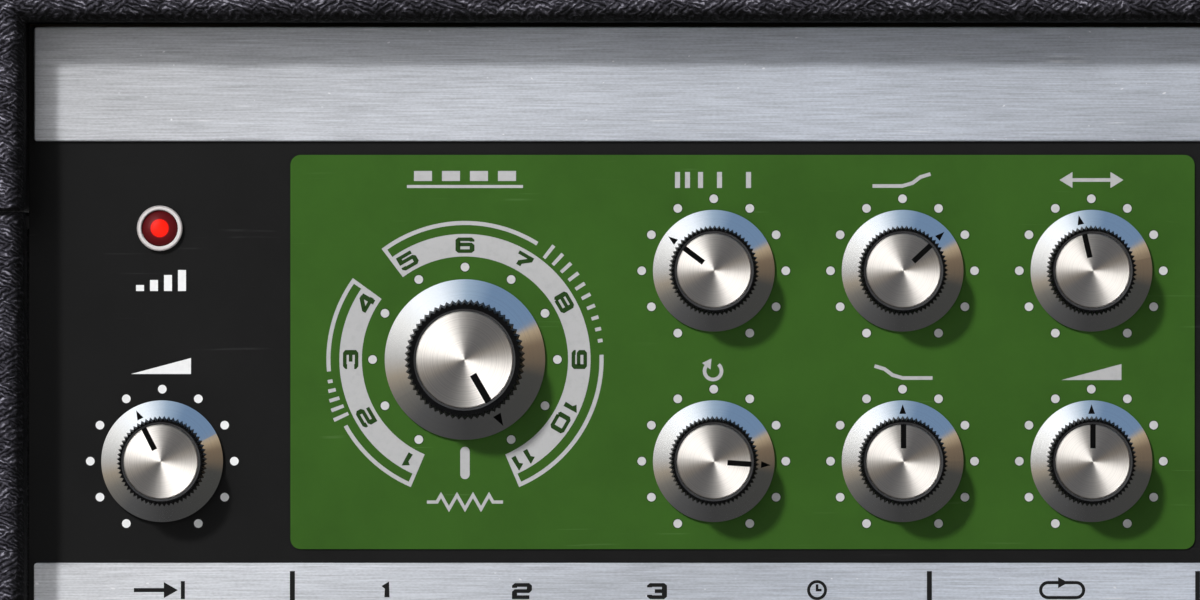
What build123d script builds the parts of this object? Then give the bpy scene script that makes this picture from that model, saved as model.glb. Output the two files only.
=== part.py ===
from build123d import *
import math
import os

# Table-top tape echo in a leatherette-covered case: a control panel in front, a tape deck under a hinged lid.
# Millimetres, +X to the viewer's right, +Y to the back, +Z up, origin under the middle of the whole object.

# Case boards
BOARD = 14.5              # board with its covering
CASE_DEPTH = 272.5
EDGE_R = 6.0              # upright outer corners
TOP_EDGE_R = 5.0          # edge round the lid's top
BASE_EDGE_R = 4.0         # edge round the underside
SEAM_R = 1.2              # soft edges where the lid meets the case
RIM_R = 5.0               # rounded mouth round the panel
SEAM_DROP = 44.4          # lid seam below the panel's top edge
BATTEN = 10.0             # square battens inside the side boards
FOOT_H = 8.0
FOOT_R = 11.0
FOOT_TIP_R = 9.0
FOOT_INSET = 32.0

# Control panel
PANEL_W = 340.0           # width of the bright strips
STRIP_H = 27.4
FIELD_H = 101.2           # black field between the strips
PANEL_T = 2.0
PANEL_MARGIN = 1.2        # black panel shown beside the strips
PANEL_RETURN = 12.0       # depth of the folded top edge
PANEL_RECESS = 26.0       # panel face behind the rim
PANEL_CLEAR = 0.5         # between the panel's ends and the boards
LID_CLEAR = 1.0           # between the panel's top and the lid
STRIP_T = 1.5
STRIP_CHAMFER = 0.3
STRIP_R = 0.8             # corners of the strips
GREEN_W = 217.0
GREEN_MARGIN = 3.3        # black shown above and below the green plate
GREEN_T = 0.6
GREEN_R = 2.5
HOLE_CLEAR = 0.1          # round what passes through the panel

# Places of the controls: across from the middle, up from the middle of the black field
SELECT_X = -66.6
SELECT_RISE = -1.8
COLUMN_X = -6.9           # first column of small knobs
COLUMN_PITCH = 45.3
ROW_RISE = 19.5           # upper row of small knobs
ROW_PITCH = 45.7
LAMP_RISE = 29.7
LAMP_SHIFT = 0.6          # lamps stand a little outside the side columns
SWITCH_RISE = 9.5         # switches above the lower edge of the panel
HEAD_LAMP_X = -85.3
HEAD_LAMP_PITCH = 32.4
TEMPO_X = 17.9
LOOP_X = 76.7

# Knobs
SMALL_SKIRT_R = 14.6
SMALL_GRIP_R = 10.9
SMALL_CAP_R = 8.9
SMALL_H = 16.0
SMALL_MARK_W = 1.3
SMALL_MARK_START = 3.2
LARGE_SKIRT_R = 19.25
LARGE_GRIP_R = 14.5
LARGE_CAP_R = 11.6
LARGE_H = 18.0
LARGE_MARK_W = 1.7
LARGE_MARK_START = 4.1
KNOB_GAP = 0.5            # knob above the green plate
SKIRT_T = 1.0
SKIRT_LIP = 0.8
SKIRT_SLOPE = 25.0        # degrees
SKIRT_TUCK = 0.3          # skirt's cone runs in under the grip's teeth
HUB_INSET = 3.0           # hub inside the skirt, in from the grip
HUB_WALL = 1.6
TEETH = 60
TOOTH_DEPTH = 0.75
GRIP_TAPER = 0.95         # size of the grip's top as a share of its base
GRIP_CHAMFER = 0.4
RECESS_CHAMFER = 0.5      # inner edge of the grip's rim
CAP_T = 1.5
CAP_SINK = 0.3            # cap below the grip's rim
CAP_FIT = 0.06
CAP_CHAMFER = 0.25
MARK_DEPTH = 0.3
STEM_R = 3.0
STEM_REACH = 7.0          # stem behind the panel
RUN_CLEAR = 0.05          # running fit, radial

# Controls behind the panel
BUSH_R = 4.2
POT_R = 8.0
POT_LEN = 9.0
SELECTOR_R = 15.0
SELECTOR_LEN = 18.0
LAMP_R = 5.45
LAMP_LENS_R = 4.5
LAMP_RIM_H = 2.0
LAMP_EDGE = 0.3           # bezel's outer edge
LAMP_DOME = 1.3           # height of the lens dome
LAMP_TAIL_R = 3.9
LAMP_TAIL = 11.0
LAMP_TAIL_WALL = 0.6
TOGGLE_BUSH_R = 3.1
TOGGLE_BUSH_H = 5.0
TOGGLE_BALL_R = 2.1
TOGGLE_SINK = 3.0         # pivot below the bush's mouth
TOGGLE_NECK_R = 1.05
TOGGLE_TIP_R = 2.5
TOGGLE_LEN = 17.0         # pivot to tip
TOGGLE_TILT = 12.0        # degrees either side of straight
TOGGLE_NUT_R = 4.8
TOGGLE_NUT_H = 1.8
TOGGLE_BODY = (13.0, 16.0, 14.0)

# Tape deck
DECK_DROP = 4.0           # deck's underside below the seam
DECK_T = 1.5
DECK_FRONT_GAP = 18.0     # deck's front edge behind the panel
DECK_CLEAR = 1.0
TAPE_W = 6.35
TAPE_T = 0.3
TAPE_RISE = 3.5           # tape's lower edge above the deck
TAPE_GAP = 0.15           # tape to what it runs over
TAPE_LINE = 40.0          # straight run of tape behind the deck's front edge
TANK_INSET = 19.7         # tank's side walls in from the boards
TANK_FRONT = 72.0         # tank's front wall behind the deck's front edge
TANK_WALL = 2.0
TANK_H = 13.0
TANK_SIDE_GAP = 16.0      # tape to the tank's side walls
TANK_GATE = 7.0           # half the gap in the tank wall where the tape passes
FOLDS = 9
FOLD_MARGIN = 6.0         # folds to the tank's walls
FOLD_SLACK = 30.0         # how unevenly the folds reach
FOLD_SWING = 2.1          # change from fold to fold, radians
COVER_T = 2.0
COVER_LAP = 3.0           # cover past the tank's walls
COVER_R = 5.0             # corners of the cover
NOTCH_R = 9.0             # finger notch in the cover's front edge
GUIDE_R = 6.0
GUIDE_FLANGE = 1.2
HEAD_W = 13.0
HEAD_D = 15.0
HEAD_H = 14.0
HEAD_NOSE_R = 10.0
HEAD_FOOT = 2.0           # height of the mounting foot
HEAD_FOOT_LAP = 2.5       # foot past the shield, to the sides and behind
HEAD_SINK = 2.0           # foot behind the nose
HEAD_EDGE = 1.0
HEAD_START = 40.0         # first head along from the tape's left turn
HEAD_PITCH = 29.0
HEADS = 5
CAPSTAN_INSET = 52.0      # capstan in from the tape's right turn
CAPSTAN_R = 3.0
CAPSTAN_H = 15.0
BEARING_R = 7.0
BEARING_LEN = 14.0
FLYWHEEL_R = 30.0
FLYWHEEL_T = 7.0
FLYWHEEL_RIM = 6.0        # radial width of the heavy rim
FLYWHEEL_WEB = 3.0
FLYWHEEL_HUB_R = 9.0
FLYWHEEL_DROP = 48.0      # flywheel's underside below the deck
ROLLER_R = 9.0
ROLLER_H = 9.0
ARM_X = 34.0              # arm's pivot to the right of the roller
ARM_Y = 14.0              # arm's pivot in front of the roller
ARM_T = 2.0
ARM_R = 5.0
ARM_RISE = 1.0            # arm above the deck
PIVOT_R = 2.5
ROLLER_PIN_R = 1.6
THIN_GAP = 0.3            # between pieces that slide past each other
MOTOR_X = 66.0            # motor to the left of the capstan
MOTOR_Y = 34.0            # motor behind the line of tape
MOTOR_R = 17.0
MOTOR_LEN = 34.0
MOTOR_PLATE = 42.0        # square plate that hangs the motor from the deck
MOTOR_PLATE_T = 2.0
MOTOR_PLATE_R = 6.0
MOTOR_EDGE = 2.5          # rounded edge of the can
MOTOR_BOSS_R = 5.0
MOTOR_BOSS_H = 2.5
MOTOR_SHAFT_R = 1.5
PULLEY_R = 6.0
BELT_T = 1.0
BELT_INSET = 1.0          # belt in from the flywheel's faces

# Lid hinges
HINGE_X = 120.0           # either side of the middle
HINGE_W = 40.0
HINGE_KNUCKLE = 13.0      # length of the middle knuckle
HINGE_GAP = 0.3           # between knuckles, along the pin
HINGE_OUT = 3.2           # pin behind the rear face
HINGE_R = 2.8
HINGE_LEAF_H = 20.0
HINGE_LEAF_T = 1.4
HINGE_PIN_R = 1.25

# Rear connections and inner pieces
REAR_W = 150.0
REAR_H = 46.0
REAR_T = 1.5
REAR_LAP = 8.0            # plate past the edge of its cut-out
REAR_Z = 84.0
JACK_X = (-52.0, -22.0)
JACK_BORE_R = 3.2
JACK_BUSH_R = 4.7
JACK_BODY_R = 7.5
JACK_BODY_LEN = 30.0
JACK_FLOOR = 2.0
JACK_OUT = 3.5            # bush past the plate
JACK_NUT_R = 7.0
JACK_NUT_H = 2.2
INLET_X = 44.0
INLET_W = 24.4
INLET_H = 16.6
INLET_DEPTH = 17.0
INLET_BEVEL = 5.0         # the socket's two cut corners
INLET_WALL = 1.6
INLET_FLANGE = (50.0, 23.0)
INLET_FLANGE_T = 2.5
INLET_PIN = (2.0, 4.0)
INLET_PIN_LEN = 11.0
INLET_PIN_SPREAD = 7.0
INLET_PIN_RISE = 4.0
BOARD_SIZE = (190.0, 96.0)
BOARD_T = 1.6
BOARD_LEG = 8.0
BOARD_SIDE = 36.0         # circuit board in from the left board
BOARD_FRONT = 24.0        # circuit board behind the rotary switch
CAN_R = 8.0
CAN_H = 22.0
CANS = 4
CAN_PITCH = 30.0
BOARD_LEG_R = 3.0
CHIP = (19.0, 6.5, 4.0)
CHIPS = 5
CHIP_PITCH = 30.0
CHIP_ROW = 26.0           # chips in front of the row of cans
CORE = (58.0, 46.0, 50.0)
COIL_BULGE = 9.0          # coil past the laminations
COIL_R = 6.0              # soft ends of the coil
CORE_WINDOW = 13.0        # laminations above, below and beside the coil
CORE_FOOT = (12.0, 2.0)   # foot: reach and thickness
CORE_SIDE = 18.0          # transformer in from the right board
CORE_REAR = 42.0          # transformer in front of the rear board
SPRING_PAN = (62.0, 26.0)  # reverb tank: depth and height
PAN_T = 1.0
PAN_SIDE = 20.0           # reverb tank in from the left board
PAN_GAP = 10.0            # reverb tank to the transformer's foot
PAN_REAR = 8.0            # reverb tank in front of the rear board

THROUGH = 2.0             # cuts run this far past what they cut

# Levels and places worked out from the sizes above
PANEL_H = 2 * STRIP_H + FIELD_H
BASE_Z = FOOT_H
FLOOR_Z = BASE_Z + BOARD                       # top of the bottom board
PANEL_TOP = FLOOR_Z + PANEL_H
LID_UNDER = PANEL_TOP + LID_CLEAR
CASE_TOP = LID_UNDER + BOARD
SEAM_Z = PANEL_TOP - SEAM_DROP
DECK_Z = SEAM_Z - DECK_DROP
DECK_TOP = DECK_Z + DECK_T
FIELD_Z = FLOOR_Z + STRIP_H + FIELD_H / 2      # middle of the black field
INNER_X = PANEL_W / 2 + PANEL_MARGIN + PANEL_CLEAR
CASE_W = 2 * (INNER_X + BOARD)
KNOB_BASE = GREEN_T + KNOB_GAP                 # knob's underside above the black field
LEVER_OUT = (TOGGLE_LEN - TOGGLE_TIP_R) * math.cos(math.radians(TOGGLE_TILT)) + TOGGLE_TIP_R
TOGGLE_OUT = STRIP_T + TOGGLE_BUSH_H - TOGGLE_SINK + LEVER_OUT
CONTROLS_OUT = max(KNOB_BASE + LARGE_H, KNOB_BASE + SMALL_H, TOGGLE_OUT)
FRONT_OVER = max(0.0, CONTROLS_OUT - PANEL_RECESS)
REAR_OVER = HINGE_OUT + HINGE_R
FRONT_Y = -(FRONT_OVER + CASE_DEPTH + REAR_OVER) / 2 + FRONT_OVER
REAR_Y = FRONT_Y + CASE_DEPTH
FIELD_Y = FRONT_Y + PANEL_RECESS
PANEL_BACK = FIELD_Y + PANEL_T
INNER_REAR = REAR_Y - BOARD
DECK_FRONT = PANEL_BACK + DECK_FRONT_GAP
DECK_REAR = INNER_REAR - DECK_CLEAR
TAPE_Y = DECK_FRONT + TAPE_LINE
TAPE_EDGE = TAPE_T / 2 + TAPE_GAP              # tape's middle to the face that it runs over
TANK_X = INNER_X - TANK_INSET                  # half the tank's width
TAPE_X = TANK_X - TANK_SIDE_GAP
CAPSTAN_X = TAPE_X - CAPSTAN_INSET
CAPSTAN_Y = TAPE_Y + TAPE_EDGE + CAPSTAN_R
ROLLER_Y = TAPE_Y - TAPE_EDGE - ROLLER_R
ARM_TOP = DECK_TOP + ARM_RISE + ARM_T
WHEEL_Z = DECK_Z - FLYWHEEL_DROP
SIDE_X = (PANEL_W + GREEN_W) / 4               # middle of the black field beside the green plate
GREEN_H = FIELD_H - 2 * GREEN_MARGIN
CORE_X = INNER_X - CORE_SIDE - CORE[0] / 2 - CORE_FOOT[0]
SWITCH_Z = FLOOR_Z + SWITCH_RISE - FIELD_Z     # switch row, from the middle of the field

# Each knob: name, place on the panel, and the way its mark points, clockwise from straight up
SMALL_KNOBS = [
    ("input_volume", -SIDE_X, ROW_RISE - ROW_PITCH, -27),
    ("echo_rate", COLUMN_X, ROW_RISE, -53),
    ("feedback", COLUMN_X, ROW_RISE - ROW_PITCH, 94),
    ("treble", COLUMN_X + COLUMN_PITCH, ROW_RISE, 47),
    ("bass", COLUMN_X + COLUMN_PITCH, ROW_RISE - ROW_PITCH, 0),
    ("echo_pan", COLUMN_X + 2 * COLUMN_PITCH, ROW_RISE, -13),
    ("echo_volume", COLUMN_X + 2 * COLUMN_PITCH, ROW_RISE - ROW_PITCH, 0),
]
SELECT_KNOB = ("head_select", SELECT_X, SELECT_RISE, 150)
FIELD_LAMPS = [(side * (SIDE_X + LAMP_SHIFT), LAMP_RISE) for side in (-1, 1)]
STRIP_LAMPS = [(HEAD_LAMP_X + i * HEAD_LAMP_PITCH, SWITCH_Z) for i in range(3)]
STRIP_TOGGLES = [
    ("input_send_toggle", -SIDE_X, SWITCH_Z),
    ("tempo_sync_toggle", TEMPO_X, SWITCH_Z),
    ("tape_loop_toggle", LOOP_X, SWITCH_Z),
]
POWER_TOGGLE = ("power_toggle", SIDE_X, ROW_RISE - ROW_PITCH)


def block(x0, x1, y0, y1, z0, z1):
    low = (Align.MIN, Align.MIN, Align.MIN)
    return Pos(x0, y0, z0) * Box(x1 - x0, y1 - y0, z1 - z0, align=low)


def rod(radius, z0, z1):
    return Pos(0, 0, z0) * Cylinder(radius, z1 - z0, align=(Align.CENTER, Align.CENTER, Align.MIN))


def turned(*profile):
    """A solid of revolution about Z from (radius, height) points."""
    outline = Polyline(*[(r, 0, z) for r, z in profile], close=True)
    return revolve(make_face(outline), Axis.Z)


def on_panel(x, rise, turn=0):
    """A place on the black field: local Z to the viewer, local Y up, turned clockwise seen from in front."""
    return Pos(x, FIELD_Y, FIELD_Z + rise) * Rot(90, 0, 0) * Rot(0, 0, -turn)


def group(solids):
    return Compound(children=[s for shape in solids for s in shape.solids()])


# Knobs: a turned skirt, a moulded toothed grip with its stem, and a bright cap set in its top

def skirt_crown(grip_r):
    """Radius where the skirt's cone ends, under the grip."""
    return grip_r - TOOTH_DEPTH - SKIRT_TUCK


def skirt_top(skirt_r, grip_r):
    rise = (skirt_r - skirt_crown(grip_r)) * math.tan(math.radians(SKIRT_SLOPE))
    return KNOB_BASE + SKIRT_LIP + rise


def knob_skirt(skirt_r, grip_r):
    top = skirt_top(skirt_r, grip_r)
    hub = grip_r - HUB_INSET + CAP_FIT
    crown = skirt_crown(grip_r)
    return turned(
        (hub, top),
        (crown, top),
        (skirt_r, KNOB_BASE + SKIRT_LIP),
        (skirt_r, KNOB_BASE),
        (skirt_r - SKIRT_T, KNOB_BASE),
        (crown - SKIRT_T / 2, top - SKIRT_T),
        (hub, top - SKIRT_T),
    )


def toothed_face(grip_r, share, z):
    """The grip's toothed outline at a height, as a share of its full size."""
    tip = grip_r * share
    root = (grip_r - TOOTH_DEPTH) * share
    points = [
        (r * math.cos(a), r * math.sin(a))
        for i in range(TEETH)
        for r, a in ((tip, 2 * math.pi * i / TEETH), (root, 2 * math.pi * (i + 0.5) / TEETH))
    ]
    return Pos(0, 0, z) * make_face(Polyline(*points, close=True))


def knob_grip(skirt_r, grip_r, cap_r, height):
    base = skirt_top(skirt_r, grip_r)
    top = KNOB_BASE + height
    hub = grip_r - HUB_INSET
    edge = grip_r * GRIP_TAPER - GRIP_CHAMFER
    outside = grip_r + 1
    toothed = loft([toothed_face(grip_r, 1.0, base), toothed_face(grip_r, GRIP_TAPER, top)], ruled=True)
    rounded = turned(
        (0, base),
        (outside, base),
        (outside, top - (outside - edge)),
        (edge, top),
        (0, top),
    )
    recess_z = top - CAP_SINK - CAP_T
    recess = turned(
        (0, recess_z),
        (cap_r + CAP_FIT, recess_z),
        (cap_r + CAP_FIT, top - RECESS_CHAMFER),
        (cap_r + CAP_FIT + RECESS_CHAMFER, top),
        (0, top),
    )
    ring = rod(hub, KNOB_BASE, base) - rod(hub - HUB_WALL, KNOB_BASE, base)
    stem = rod(STEM_R, -PANEL_T - STEM_REACH, base)
    return (toothed & rounded) - recess + ring + stem


def knob_cap(cap_r, height, mark_w, mark_start):
    top = KNOB_BASE + height - CAP_SINK
    disc = turned(
        (0, top - CAP_T),
        (cap_r, top - CAP_T),
        (cap_r, top - CAP_CHAMFER),
        (cap_r - CAP_CHAMFER, top),
        (0, top),
    )
    return disc - block(-mark_w / 2, mark_w / 2, mark_start, cap_r, top - MARK_DEPTH, top)


def knobs():
    small = {
        "skirt": knob_skirt(SMALL_SKIRT_R, SMALL_GRIP_R),
        "grip": knob_grip(SMALL_SKIRT_R, SMALL_GRIP_R, SMALL_CAP_R, SMALL_H),
        "cap": knob_cap(SMALL_CAP_R, SMALL_H, SMALL_MARK_W, SMALL_MARK_START),
    }
    large = {
        "skirt": knob_skirt(LARGE_SKIRT_R, LARGE_GRIP_R),
        "grip": knob_grip(LARGE_SKIRT_R, LARGE_GRIP_R, LARGE_CAP_R, LARGE_H),
        "cap": knob_cap(LARGE_CAP_R, LARGE_H, LARGE_MARK_W, LARGE_MARK_START),
    }
    made = {}
    for pieces, places in ((small, SMALL_KNOBS), (large, [SELECT_KNOB])):
        for name, x, rise, turn in places:
            for piece, shape in pieces.items():
                made[f"{name}_{piece}"] = on_panel(x, rise, turn) * shape
    return made


# What stands behind the knobs, and the lamps and toggle switches

def turning_control(radius, length):
    """Potentiometer or rotary switch: can behind the panel, bush through it, blind bore for the stem."""
    bush = rod(BUSH_R, -PANEL_T, GREEN_T)
    can = rod(radius, -PANEL_T - length, -PANEL_T)
    return can + bush - rod(STEM_R + RUN_CLEAR, -PANEL_T - STEM_REACH - RUN_CLEAR, GREEN_T)


def lamp_bezel(face):
    seat = face + LAMP_R - LAMP_LENS_R
    rim = face + LAMP_RIM_H
    return turned(
        (LAMP_TAIL_R, face),
        (LAMP_R, face),
        (LAMP_R, rim - LAMP_EDGE),
        (LAMP_R - LAMP_EDGE, rim),
        (LAMP_LENS_R + CAP_FIT, rim),
        (LAMP_LENS_R + CAP_FIT, seat),
        (LAMP_TAIL_R - LAMP_TAIL_WALL, seat),
        (LAMP_TAIL_R - LAMP_TAIL_WALL, -LAMP_TAIL),
        (LAMP_TAIL_R, -LAMP_TAIL),
    )


def lamp_lens(face):
    seat = face + LAMP_R - LAMP_LENS_R
    dome_base = seat + CAP_FIT
    sphere_r = (LAMP_LENS_R**2 + LAMP_DOME**2) / (2 * LAMP_DOME)
    dome = Pos(0, 0, dome_base + LAMP_DOME - sphere_r) * Sphere(sphere_r)
    tail = rod(LAMP_TAIL_R - LAMP_TAIL_WALL - CAP_FIT, -LAMP_TAIL, dome_base)
    return (dome & rod(LAMP_LENS_R, dome_base, dome_base + LAMP_DOME)) + tail


def toggle_body(face):
    w, h, d = TOGGLE_BODY
    mouth = face + TOGGLE_BUSH_H
    pivot = mouth - TOGGLE_SINK
    cup = rod(TOGGLE_BALL_R + RUN_CLEAR, pivot - TOGGLE_BALL_R - RUN_CLEAR, mouth)
    bush = rod(TOGGLE_BUSH_R, -PANEL_T, mouth)
    nut = extrude(Pos(0, 0, face) * RegularPolygon(TOGGLE_NUT_R, 6), TOGGLE_NUT_H)
    return block(-w / 2, w / 2, -h / 2, h / 2, -PANEL_T - d, -PANEL_T) + bush + nut - cup


def toggle_lever(face):
    """Bat lever at its lower position."""
    pivot = face + TOGGLE_BUSH_H - TOGGLE_SINK
    tip = Pos(0, 0, TOGGLE_LEN - TOGGLE_TIP_R) * Sphere(TOGGLE_TIP_R)
    bat = turned(
        (0, 0),
        (TOGGLE_NECK_R, 0),
        (TOGGLE_NECK_R, TOGGLE_SINK),
        (TOGGLE_TIP_R, TOGGLE_LEN - TOGGLE_TIP_R),
        (0, TOGGLE_LEN - TOGGLE_TIP_R),
    )
    return Pos(0, 0, pivot) * Rot(TOGGLE_TILT, 0, 0) * (Sphere(TOGGLE_BALL_R) + bat + tip)


def controls():
    pot = turning_control(POT_R, POT_LEN)
    made = {
        "pot_bodies": group(on_panel(x, rise) * pot for _, x, rise, _ in SMALL_KNOBS),
        "rotary_switch": on_panel(*SELECT_KNOB[1:3]) * turning_control(SELECTOR_R, SELECTOR_LEN),
    }
    lamps = [(place, 0) for place in FIELD_LAMPS] + [(place, STRIP_T) for place in STRIP_LAMPS]
    made["lamp_bezels"] = group(on_panel(*place) * lamp_bezel(face) for place, face in lamps)
    made["lamp_lenses"] = group(on_panel(*place) * lamp_lens(face) for place, face in lamps)
    toggles = [(toggle, STRIP_T) for toggle in STRIP_TOGGLES] + [(POWER_TOGGLE, 0)]
    made["toggle_bodies"] = group(on_panel(x, rise) * toggle_body(face) for (_, x, rise), face in toggles)
    for (name, x, rise), face in toggles:
        made[name] = on_panel(x, rise) * toggle_lever(face)
    return made


# Panel plates

def pierced(plate, places, radius):
    for x, rise in places:
        plate -= on_panel(x, rise) * rod(radius + HOLE_CLEAR, -PANEL_T - THROUGH, STRIP_T + THROUGH)
    return plate


def strip(z0):
    bar = extrude(RectangleRounded(PANEL_W, STRIP_H, STRIP_R), STRIP_T)
    bar = Pos(0, FIELD_Y, z0 + STRIP_H / 2) * Rot(90, 0, 0) * bar
    return chamfer(bar.faces().sort_by(Axis.Y)[0].edges(), STRIP_CHAMFER)


def plates():
    knob_places = [(x, rise) for _, x, rise, _ in SMALL_KNOBS + [SELECT_KNOB]]
    strip_toggles = [(x, rise) for _, x, rise in STRIP_TOGGLES]
    half = PANEL_W / 2 + PANEL_MARGIN
    panel = block(-half, half, FIELD_Y, PANEL_BACK, FLOOR_Z, PANEL_TOP)
    panel += block(-half, half, PANEL_BACK, PANEL_BACK + PANEL_RETURN, PANEL_TOP - PANEL_T, PANEL_TOP)
    panel = pierced(panel, knob_places, BUSH_R)
    panel = pierced(panel, FIELD_LAMPS + STRIP_LAMPS, LAMP_TAIL_R)
    panel = pierced(panel, strip_toggles + [POWER_TOGGLE[1:]], TOGGLE_BUSH_R)
    bottom = pierced(strip(FLOOR_Z), STRIP_LAMPS, LAMP_TAIL_R)
    green = on_panel(0, 0) * extrude(RectangleRounded(GREEN_W, GREEN_H, GREEN_R), GREEN_T)
    return {
        "front_panel": panel,
        "top_strip": strip(PANEL_TOP - STRIP_H),
        "bottom_strip": pierced(bottom, strip_toggles, TOGGLE_BUSH_R),
        "green_plate": pierced(green, [p for p in knob_places if abs(p[0]) < GREEN_W / 2], BUSH_R),
    }


# Case, lid and hinges

def open_block(z0, z1, outer_face, edge_r, hollow_z0, hollow_z1):
    """Rounded box, hollow from the front, with a soft mouth.

    outer_face is 0 to round the edge of its underside, -1 for its top.
    """
    outline = RectangleRounded(CASE_W, CASE_DEPTH, EDGE_R)
    body = Pos(0, (FRONT_Y + REAR_Y) / 2, z0) * extrude(outline, z1 - z0)
    body = fillet(body.faces().sort_by(Axis.Z)[outer_face].edges(), edge_r)
    body -= block(-INNER_X, INNER_X, FRONT_Y - THROUGH, INNER_REAR, hollow_z0, hollow_z1)
    front = body.faces().filter_by(Axis.Y).sort_by(Axis.Y)[0]
    mouth = [
        e for e in front.edges()
        if abs(e.center().X) < INNER_X + THIN_GAP and z0 + THIN_GAP < e.center().Z < z1 - THIN_GAP
    ]
    body = fillet(mouth, RIM_R)
    seam = body.faces().filter_by(Axis.Z).filter_by(lambda f: abs(f.center().Z - SEAM_Z) < THIN_GAP)
    return fillet(seam.edges(), SEAM_R)


def cabinet_shell():
    shell = open_block(BASE_Z, SEAM_Z, 0, BASE_EDGE_R, FLOOR_Z, SEAM_Z + THROUGH)
    for side in (-1, 1):
        x0, x1 = sorted((side * INNER_X, side * (INNER_X - BATTEN)))
        shell += block(x0, x1, PANEL_BACK, INNER_REAR, DECK_Z - BATTEN, DECK_Z)
        shell += block(x0, x1, PANEL_BACK, PANEL_BACK + BATTEN, FLOOR_Z, DECK_Z)
    half = REAR_W / 2 - REAR_LAP
    rise = REAR_H / 2 - REAR_LAP
    return shell - block(-half, half, INNER_REAR - THROUGH, REAR_Y + THROUGH, REAR_Z - rise, REAR_Z + rise)


def lid():
    return open_block(SEAM_Z, CASE_TOP, -1, TOP_EDGE_R, SEAM_Z - THROUGH, LID_UNDER)


def hinge_leaf(side, spans):
    """One leaf, above (1) or below (-1) the pin, with its knuckles over the given spans along the pin."""
    clear = HINGE_R + THIN_GAP
    leaf = block(-HINGE_W / 2, HINGE_W / 2, -HINGE_OUT, HINGE_LEAF_T - HINGE_OUT, clear, HINGE_LEAF_H)
    for x0, x1 in spans:
        leaf += block(x0, x1, -HINGE_OUT, HINGE_LEAF_T - HINGE_OUT, 0, clear)
        leaf += Pos(x0, 0, 0) * Rot(0, 90, 0) * rod(HINGE_R, 0, x1 - x0)
    leaf -= Pos(-HINGE_W, 0, 0) * Rot(0, 90, 0) * rod(HINGE_PIN_R + RUN_CLEAR, 0, 2 * HINGE_W)
    if side < 0:
        leaf = mirror(leaf, Plane.XY)
    return leaf


def hinges():
    middle = HINGE_KNUCKLE / 2
    outer = middle + HINGE_GAP
    upper = hinge_leaf(1, [(-middle, middle)])
    lower = hinge_leaf(-1, [(-HINGE_W / 2, -outer), (outer, HINGE_W / 2)])
    pin = Pos(-HINGE_W / 2, 0, 0) * Rot(0, 90, 0) * rod(HINGE_PIN_R, 0, HINGE_W)
    places = [Pos(side * HINGE_X, REAR_Y + HINGE_OUT, SEAM_Z) for side in (-1, 1)]
    return {
        "lid_hinge_leaves": group(place * upper for place in places),
        "case_hinge_leaves": group(place * lower for place in places),
        "hinge_pins": group(place * pin for place in places),
    }


def feet():
    foot = turned((0, 0), (FOOT_TIP_R, 0), (FOOT_R, FOOT_H), (0, FOOT_H))
    x = CASE_W / 2 - FOOT_INSET
    y = CASE_DEPTH / 2 - FOOT_INSET
    middle = (FRONT_Y + REAR_Y) / 2
    return group(Pos(i * x, middle + j * y, 0) * foot for i in (-1, 1) for j in (-1, 1))


# Tape deck

def hull_plate(r0, r1, to, z0, z1):
    """Plate round two circles, the first at the origin."""
    circles = Sketch() + [Circle(r0), Pos(*to) * Circle(r1)]
    return Pos(0, 0, z0) * extrude(make_hull(circles.edges()), z1 - z0)


def deck_plate():
    half = INNER_X - DECK_CLEAR
    plate = block(-half, half, DECK_FRONT, DECK_REAR, DECK_Z, DECK_TOP)
    front = DECK_FRONT + TANK_FRONT
    rear = DECK_REAR - DECK_CLEAR
    wall_top = DECK_TOP + TANK_H
    fence = block(-TANK_X, TANK_X, front, rear, DECK_TOP, wall_top)
    inner = TANK_X - TANK_WALL
    fence -= block(-inner, inner, front + TANK_WALL, rear - TANK_WALL, DECK_TOP, wall_top)
    for side in (-1, 1):
        x = side * TAPE_X
        fence -= block(x - TANK_GATE, x + TANK_GATE, front, front + TANK_WALL, DECK_TOP, wall_top)
    bearing = rod(BEARING_R, DECK_Z - BEARING_LEN, DECK_TOP + ARM_RISE)
    shaft = rod(CAPSTAN_R + RUN_CLEAR, DECK_Z - BEARING_LEN, DECK_TOP + ARM_RISE)
    pivot = rod(PIVOT_R, DECK_TOP, ARM_TOP + ARM_T) + rod(ARM_R, DECK_TOP, DECK_TOP + ARM_RISE - THIN_GAP)
    plate = plate + fence + Pos(CAPSTAN_X, CAPSTAN_Y, 0) * bearing + arm_place() * pivot
    return plate - Pos(CAPSTAN_X, CAPSTAN_Y, 0) * shaft


def arm_place():
    return Pos(CAPSTAN_X + ARM_X, ROLLER_Y - ARM_Y, 0)


def tank_cover():
    half = TANK_X + COVER_LAP
    front = DECK_FRONT + TANK_FRONT - COVER_LAP
    z = DECK_TOP + TANK_H
    sheet = RectangleRounded(2 * half, DECK_REAR - front, COVER_R)
    cover = Pos(0, (front + DECK_REAR) / 2, z) * extrude(sheet, COVER_T)
    return cover - Pos(0, front, 0) * rod(NOTCH_R, z, z + COVER_T)


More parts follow.
